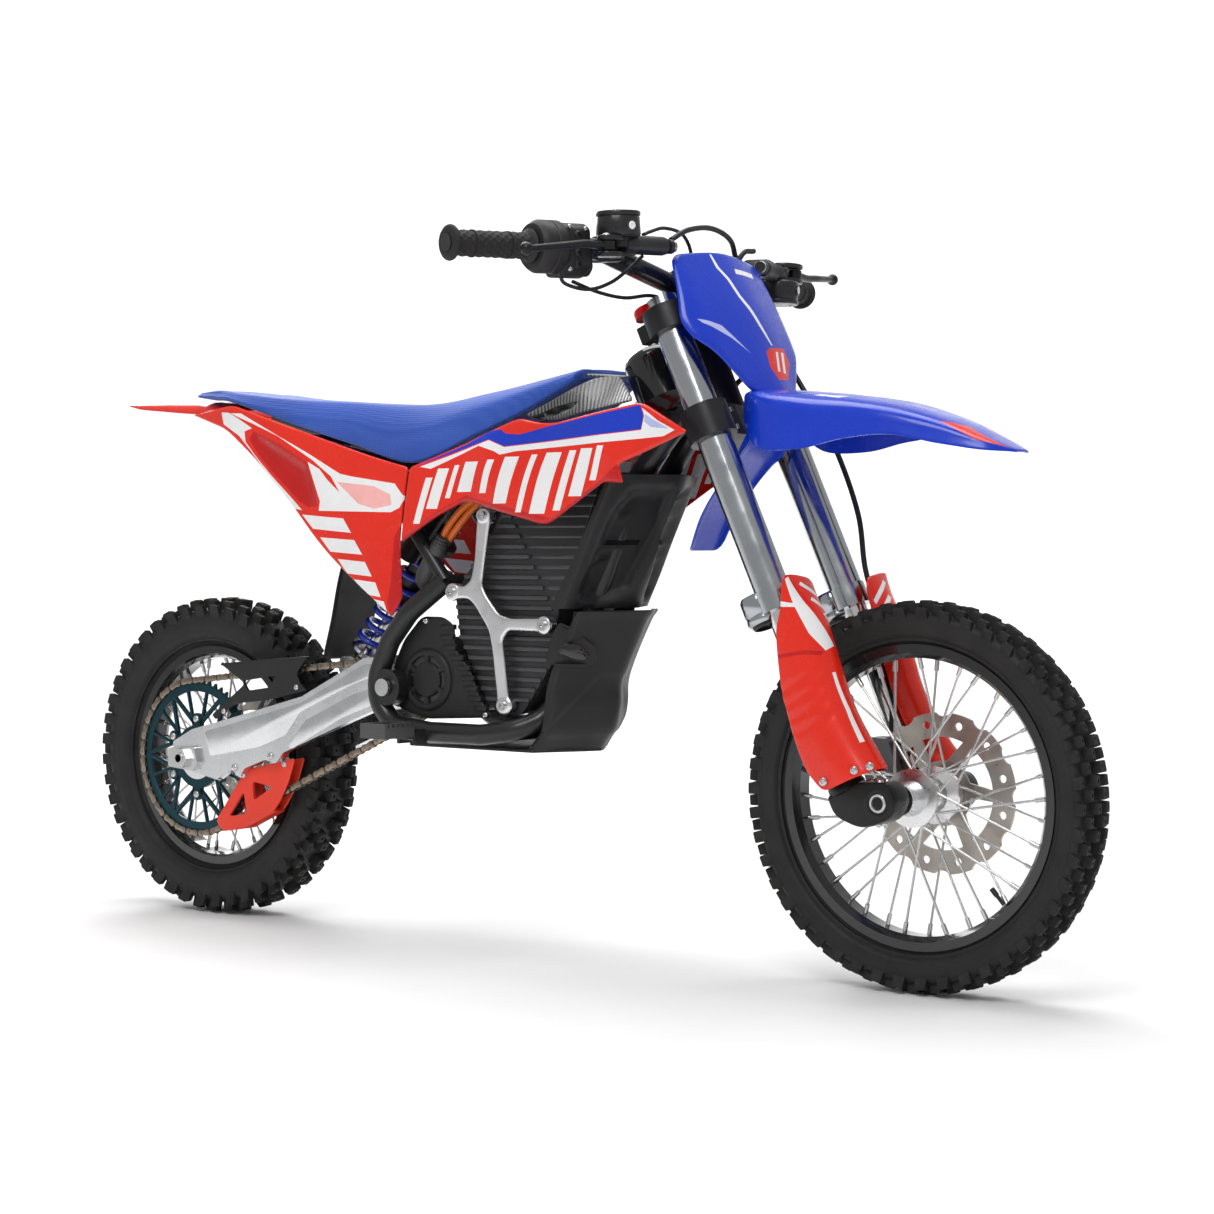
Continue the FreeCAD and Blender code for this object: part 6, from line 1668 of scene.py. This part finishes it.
# ---------------------------------------------------------------- hoses and wires
HOSE_RADIUS, WIRE_RADIUS = 0.0036, 0.0024


def hose(name, points, body=None, ends=None, replaces=(), between=None):
    """A smooth hose on one body, or, when between is given, a loose hose attached to no body."""
    path = spline([tuple(p) for p in points], 8)
    verts, faces = sweep(path, HOSE_RADIUS, 14)
    made = piece(name, verts, faces, "hose_rubber", body, replaces=replaces, sharp=60,
                 free=between is not None, slot="hose_rubber")
    if between:
        tuple(ends[0])
        tuple(ends[1])
        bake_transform(made)


FRONT_TOP = [bike(884, -98, 934), bike(884, -60, 950), bike(880, -2, 958), bike(876, 48, 948),
             bike(870, 76, 920), fork(57, 92, 690), fork(57, 97, 620), fork(66, 100, 550)]
FRONT_LEG = [fork(66, 100, 550), fork(76, 100, 470), fork(74, 96, 380), fork(58, 90, 310),
             fork(53, 88, 250), fork(50, 80, 190), fork(36, 65, 130), fork(22, 60, 97)]
hose("front_brake_hose_upper", FRONT_TOP, "steering")
hose("front_brake_hose_lower", FRONT_LEG, replaces=["front_brake_hose"],
     between=("steering", "fork_lower"), ends=(fork(70, 98, 520), fork(53, 88, 250)))
REAR_TOP = [bike(880, 98, 938), fork(71, 66, 756), fork(50, 44, 722), fork(50, 38, 690),
            fork(52, 38, 646), fork(44, 44, 612), fork(8, 46, 600), fork(-40, 46, 596),
            bike(640, 44, 716), bike(560, 46, 700)]
hose("rear_brake_hose_upper", REAR_TOP, replaces=["rear_brake_hose_front"],
     between=("steering", "frame"), ends=(fork(30, 45, 608), bike(700, 44, 722)))
REAR_LOW = [bike(470, 60, 470), bike(452, 62, 430), bike(425, 62, 402), bike(380, 62, 410),
            bike(320, 60, 396), bike(220, 60, 346), bike(140, 62, 332), bike(94, 62, 322)]
hose("rear_brake_hose_lower", REAR_LOW, replaces=["rear_brake_hose_rear"],
     between=("frame", "swingarm"), ends=(bike(462, 61, 452), bike(390, 62, 408)))
WIRES = [
    [(845, -278, 880), (842, -262, 868), (848, -222, 864), (852, -181, 876), (858, -150, 896),
     (866, -134, 912)],
    [(841, -246, 872), (842, -195, 863), (844, -142, 860), (850, -96, 866), (856, -56, 862)],
    [(868, -136, 938), (868, -118, 944), (866, -88, 951), (864, -49, 949), (860, -24, 936),
     (858, -12, 914)]]
wire_shape = Shape()
for wire in WIRES:
    wire_shape.sweep(spline([tuple(bike(*p)) for p in wire], 8), WIRE_RADIUS, 12)
wire_shape.piece("handlebar_wires", ["hose_rubber"], "steering", replaces=["control_wires"],
                 sharp=60)


# ---------------------------------------------------------------- small parts
def make_fork_details():
    shape = Shape()
    for side in (-1, 1):
        matrix = facing(fork(0, side * LEG_OUT, 690), FORK_UP)
        shape.lathe([(20.9, 0), (20.9, 9), (19.5, 11.6), (15, 12.4), (11, 12.4),
                     (10.5, 10.5), (2, 10.5)], matrix, 48, tint=0)
        shape.lathe([(6, 10), (6, 14), (4, 15), (1, 15)], matrix, 6, tint=1)
        base = facing(fork(0, side * LEG_OUT, 0), FORK_UP)
        shape.lathe([(18.2, 263), (23, 262.5), (25.3, 266), (25.3, 271), (24.4, 272),
                     (24.4, 275), (25.3, 276), (25.3, 296), (23, 300), (18.2, 300)],
                    base, 48, closed=True, tint=2)
        shape.lathe([(17.6, 259), (19.5, 259), (20.5, 263), (17.6, 263)], base, 40,
                    closed=True, tint=3)
    shape.piece("fork_caps_and_seals", ["cap_red", "bolt_steel", "fork_silver",
                                        "hose_rubber"], "steering",
                slot="clamp_grey")
    bolts = Shape()
    for side in (-1, 1):
        for t in (514, 538, 664, 679):
            ball_screw(bolts, fork(41, side * 58, t), FORK_AHEAD, 4.2, 4.0)
        for e in (6, 42):
            ball_screw(bolts, fork(e, side * 36, 742), FORK_UP, 4.6, 5.0)
    bolts.piece("clamp_bolts", ["bolt_steel"], "steering", sharp=35)


def make_axle_details():
    shape = Shape()
    for side in (-1, 1):
        matrix = facing(FRONT_AXLE + Vector((0, side * 0.104, 0)), (0, side, 0))
        shape.lathe([(7.6, 0), (11.4, 0), (11.4, 5.2), (10.4, 6.2), (8.4, 6.2),
                     (7.6, 5.0)], matrix, 40, closed=True, tint=0)
        for y in (82, 96):
            ball_screw(shape, fork(50, side * y, -22), -FORK_UP, 4.0, 3.0, 0)
    shape.piece("front_axle_ends", ["bolt_steel"], "fork_lower", sharp=35)


def make_wheel_details(end, axle, rim):
    """Tyre valve and the clamp that locks the tyre's bead."""
    shape = Shape()

    def turn(angle, y, radius):
        return Vector((axle.x + radius / 1000 * math.cos(angle), y / 1000,
                       axle.z + radius / 1000 * math.sin(angle)))

    valve_angle = math.radians(-48 if end == "front" else -20)
    lock_angle = math.radians(132 if end == "front" else 150)
    floor = rim - 17.5
    for angle, long, radius, tint in ((valve_angle, 28, 3.4, 0), (lock_angle, 20, 4.0, 1)):
        inner = turn(angle, 0, floor - long)
        outer = turn(angle, 0, floor + 2)
        path = [inner, inner.lerp(outer, 0.35), inner.lerp(outer, 0.36), outer]
        wide, slim = radius / 1000, radius * 0.72 / 1000
        shape.sweep(path, [wide, wide, slim, slim], 14, tint=tint)
        nut = [inner.lerp(outer, 0.86), inner.lerp(outer, 0.99)]
        shape.sweep(nut, 0.0062, 6, tint=1)
    shape.piece(f"{end}_valve_and_lock", ["hose_rubber", "bolt_steel"], f"{end}_wheel",
                sharp=35)


make_fork_details()
make_axle_details()
make_wheel_details("front", FRONT_AXLE, 188)
make_wheel_details("rear", REAR_AXLE, 163)


# ---------------------------------------------------------------- sprocket, feet, pegs
def make_rear_sprocket():
    """Toothed ring on a lattice of crossed bars, with six bolts at the hub."""
    shape = Shape()

    def at(radius, angle, y):
        return REAR_AXLE + Vector((radius / 1000 * math.cos(angle), y / 1000,
                                   radius / 1000 * math.sin(angle)))

    def flat(x, z, y):
        return REAR_AXLE + Vector((x / 1000, y / 1000, z / 1000))

    matrix = facing(REAR_AXLE + Vector((0, -0.0625, 0)), (0, 1, 0))
    shape.lathe([(97, 0.6), (97.6, 0), (109, 0), (109.6, 1.2), (109.6, 3.8), (109, 5),
                 (97.6, 5), (97, 4.4)], matrix, 112, closed=True, tint=0)
    shape.lathe([(34, 0), (46, 0), (46.6, 0.6), (46.6, 4.4), (46, 5), (34, 5)], matrix, 72,
                closed=True, tint=0)
    tooth = [(108.5, 0.030), (111.5, 0.026), (114.4, 0.012), (115.6, 0.006)]
    for i in range(REAR_TEETH):
        a = 2 * math.pi * i / REAR_TEETH
        points = [(r * math.cos(a - h), r * math.sin(a - h)) for r, h in tooth]
        points += [(r * math.cos(a + h), r * math.sin(a + h)) for r, h in reversed(tooth)]
        shape.prism(points, -61.7, -58.3, flat)
    for i in range(6):
        a = math.radians(60 * i + 30)
        for lean in (-1, 1):
            for start, reach in ((0, 0.50), (0.16, 0.20)):
                p = np.array([44 * math.cos(a + lean * start), 44 * math.sin(a + lean * start)])
                b = a + lean * reach
                q = np.array([98.5 * math.cos(b), 98.5 * math.sin(b)])
                side = np.array([-(q - p)[1], (q - p)[0]])
                side = side / np.linalg.norm(side) * (3.0 if start == 0 else 2.2)
                bar = [tuple(p - side), tuple(q - side), tuple(q + side), tuple(p + side)]
                shape.prism(bar, -62.3, -57.7, flat, 0.5)
        shape.lathe([(9, 0.2), (9, 4.8), (8.4, 5.2)], facing(at(56, a, -62.7), (0, 1, 0)),
                    24, tint=0)
        ball_screw(shape, at(56, a, -62.6), (0, -1, 0), 5.6, 3.6, 1)
    shape.piece("rear_sprocket_lattice", ["sprocket_teal", "bolt_steel"], "rear_wheel",
                replaces=["rear_sprocket"], sharp=40)


def make_foot_details():
    """Cast axle clamps with pinch bolts."""
    shape = Shape()
    for side in (-1, 1):
        low, high = (-107.6, -67.4) if side < 0 else (67.4, 107.6)
        ring = rounded([(1, 34), (1, 8), (30, -20), (70, -23.6), (89, -6), (87.4, 17),
                        (60, 30), (52, 34)], [6, 12, 16, 17, 17, 14, 14, 3])
        shape.prism(ring, low, high, lambda e, t, y: fork(e, y, t), 4.0)
        face = facing(FRONT_AXLE + Vector((0, side * 0.107, 0)), (0, side, 0))
        shape.lathe([(11.6, -1), (19.5, -1), (19.5, 0.6), (18.2, 1.2), (13.2, 1.2),
                     (11.6, 0.4)], face, 44, closed=True, tint=0)
        tube = facing(fork(22, side * LEG_OUT, 30), FORK_UP)
        shape.lathe([(17.7, 0), (23.5, 0), (23.5, 10), (21.5, 14), (19.2, 16), (17.7, 16)],
                    tube, 44, closed=True, tint=0)
        for e, t in ((58, 31), (72, 25)):
            ball_screw(shape, fork(e, side * 96, t - 2), FORK_UP, 4.4, 4.6, 1)
            ball_screw(shape, fork(e, side * 79, t - 2), FORK_UP, 4.4, 4.6, 1)
    shape.piece("fork_feet_cast", ["foot_black", "bolt_steel"], "fork_lower",
                replaces=["fork_feet"])


def make_peg_teeth():
    """Sharp teeth round the rim of each peg."""
    for side, word in ((-1, "right"), (1, "left")):
        shape = Shape()

        def at(x, y, z):
            return bike(476 + x, side * (131 + y), 294 + z)

        spots = []
        for y in np.arange(21.0, 73.0, 6.4):
            spots += [(-18.4, y), (18.4, y)]
        spots += [(x, 70.4) for x in np.arange(-12.0, 13.0, 6.0)]
        for x, y in spots:
            verts = []
            for z, share in ((12.0, 1.0), (17.6, 0.85), (22.2, 0.25)):
                for dx, dy in CORNERS:
                    verts.append(at(x + dx * 2.2 * share, y + dy * 2.3 * share,
                                    z * 17.8 / 22.2))
            shape.add(verts, loft_faces(3, 4))
        shape.piece(f"{word}_peg_teeth", ["peg_steel"], f"{word}_peg", sharp=30)


make_rear_sprocket()
make_foot_details()
make_peg_teeth()


# ---------------------------------------------------------------- floor, light and camera
def make_stage():
    """Pale studio sheet: flat under the bike, curving up far behind it."""
    away = Vector((-0.593, 0.805, 0)).normalized()
    across = Vector((away.y, -away.x, 0))
    section = [(-9.0, 0.0), (0.0, 0.0), (4.6, 0.0)]
    for i in range(1, 25):
        angle = math.pi / 2 * i / 24
        section.append((4.6 + 3.2 * math.sin(angle), 3.2 * (1 - math.cos(angle))))
    section.append((7.8, 9.0))
    verts, faces = [], []
    for v, z in section:
        for side in (-14, 14):
            verts.append(tuple(away * v + across * side + Vector((0, 0, z))))
    for k in range(len(section) - 1):
        faces.append((2 * k, 2 * k + 1, 2 * k + 3, 2 * k + 2))
    mesh = bpy.data.meshes.new("floor")
    mesh.from_pydata(verts, [], faces)
    mesh.shade_smooth()
    floor = bpy.data.objects.new("floor", mesh)
    bpy.context.scene.collection.objects.link(floor)
    surface("floor", (0.90, 0.90, 0.90), 0.8, vary=0.008, rough_vary=0.03, spec=0.2)
    floor.data.materials.append(MATERIALS["floor"])


def area_light(name, place, target, size, power):
    data = bpy.data.lights.new(name, "AREA")
    data.shape = "RECTANGLE"
    data.size, data.size_y = size
    data.energy = power
    lamp = bpy.data.objects.new(name, data)
    bpy.context.scene.collection.objects.link(lamp)
    lamp.location = place
    lamp.rotation_euler = (Vector(target) - Vector(place)).to_track_quat("-Z", "Y").to_euler()


def make_lights():
    world = bpy.data.worlds.new("studio")
    world.use_nodes = True
    world.node_tree.nodes["Background"].inputs["Color"].default_value = (1, 1, 1, 1)
    world.node_tree.nodes["Background"].inputs["Strength"].default_value = 0.46
    bpy.context.scene.world = world
    area_light("key", (1.2, -2.6, 3.2), (0.0, 0, 0.5), (2.0, 1.4), 62)
    area_light("top", (-0.2, 0.4, 3.4), (0, 0, 0.4), (3.0, 1.6), 70)
    area_light("wall", (-1.6, 3.0, 3.4), (-4.2, 6.6, 1.6), (5.0, 2.0), 210)
    area_light("back", (-2.6, 1.8, 2.2), (0, 0, 0.6), (1.6, 1.6), 50)


def make_camera():
    data = bpy.data.cameras.new("camera")
    data.sensor_width = 36.0
    data.lens = 76.10
    data.shift_x = -0.0036
    data.shift_y = 0.0007
    camera = bpy.data.objects.new("camera", data)
    bpy.context.scene.collection.objects.link(camera)
    camera.location = (2.15267, -2.75355, 0.55067)
    aim = Vector((0.11898, 0.0, 0.46551)) - camera.location
    camera.rotation_euler = aim.to_track_quat("-Z", "Y").to_euler()
    bpy.context.scene.camera = camera


make_stage()
make_lights()
make_camera()
bpy.context.scene.view_settings.view_transform = "Standard"
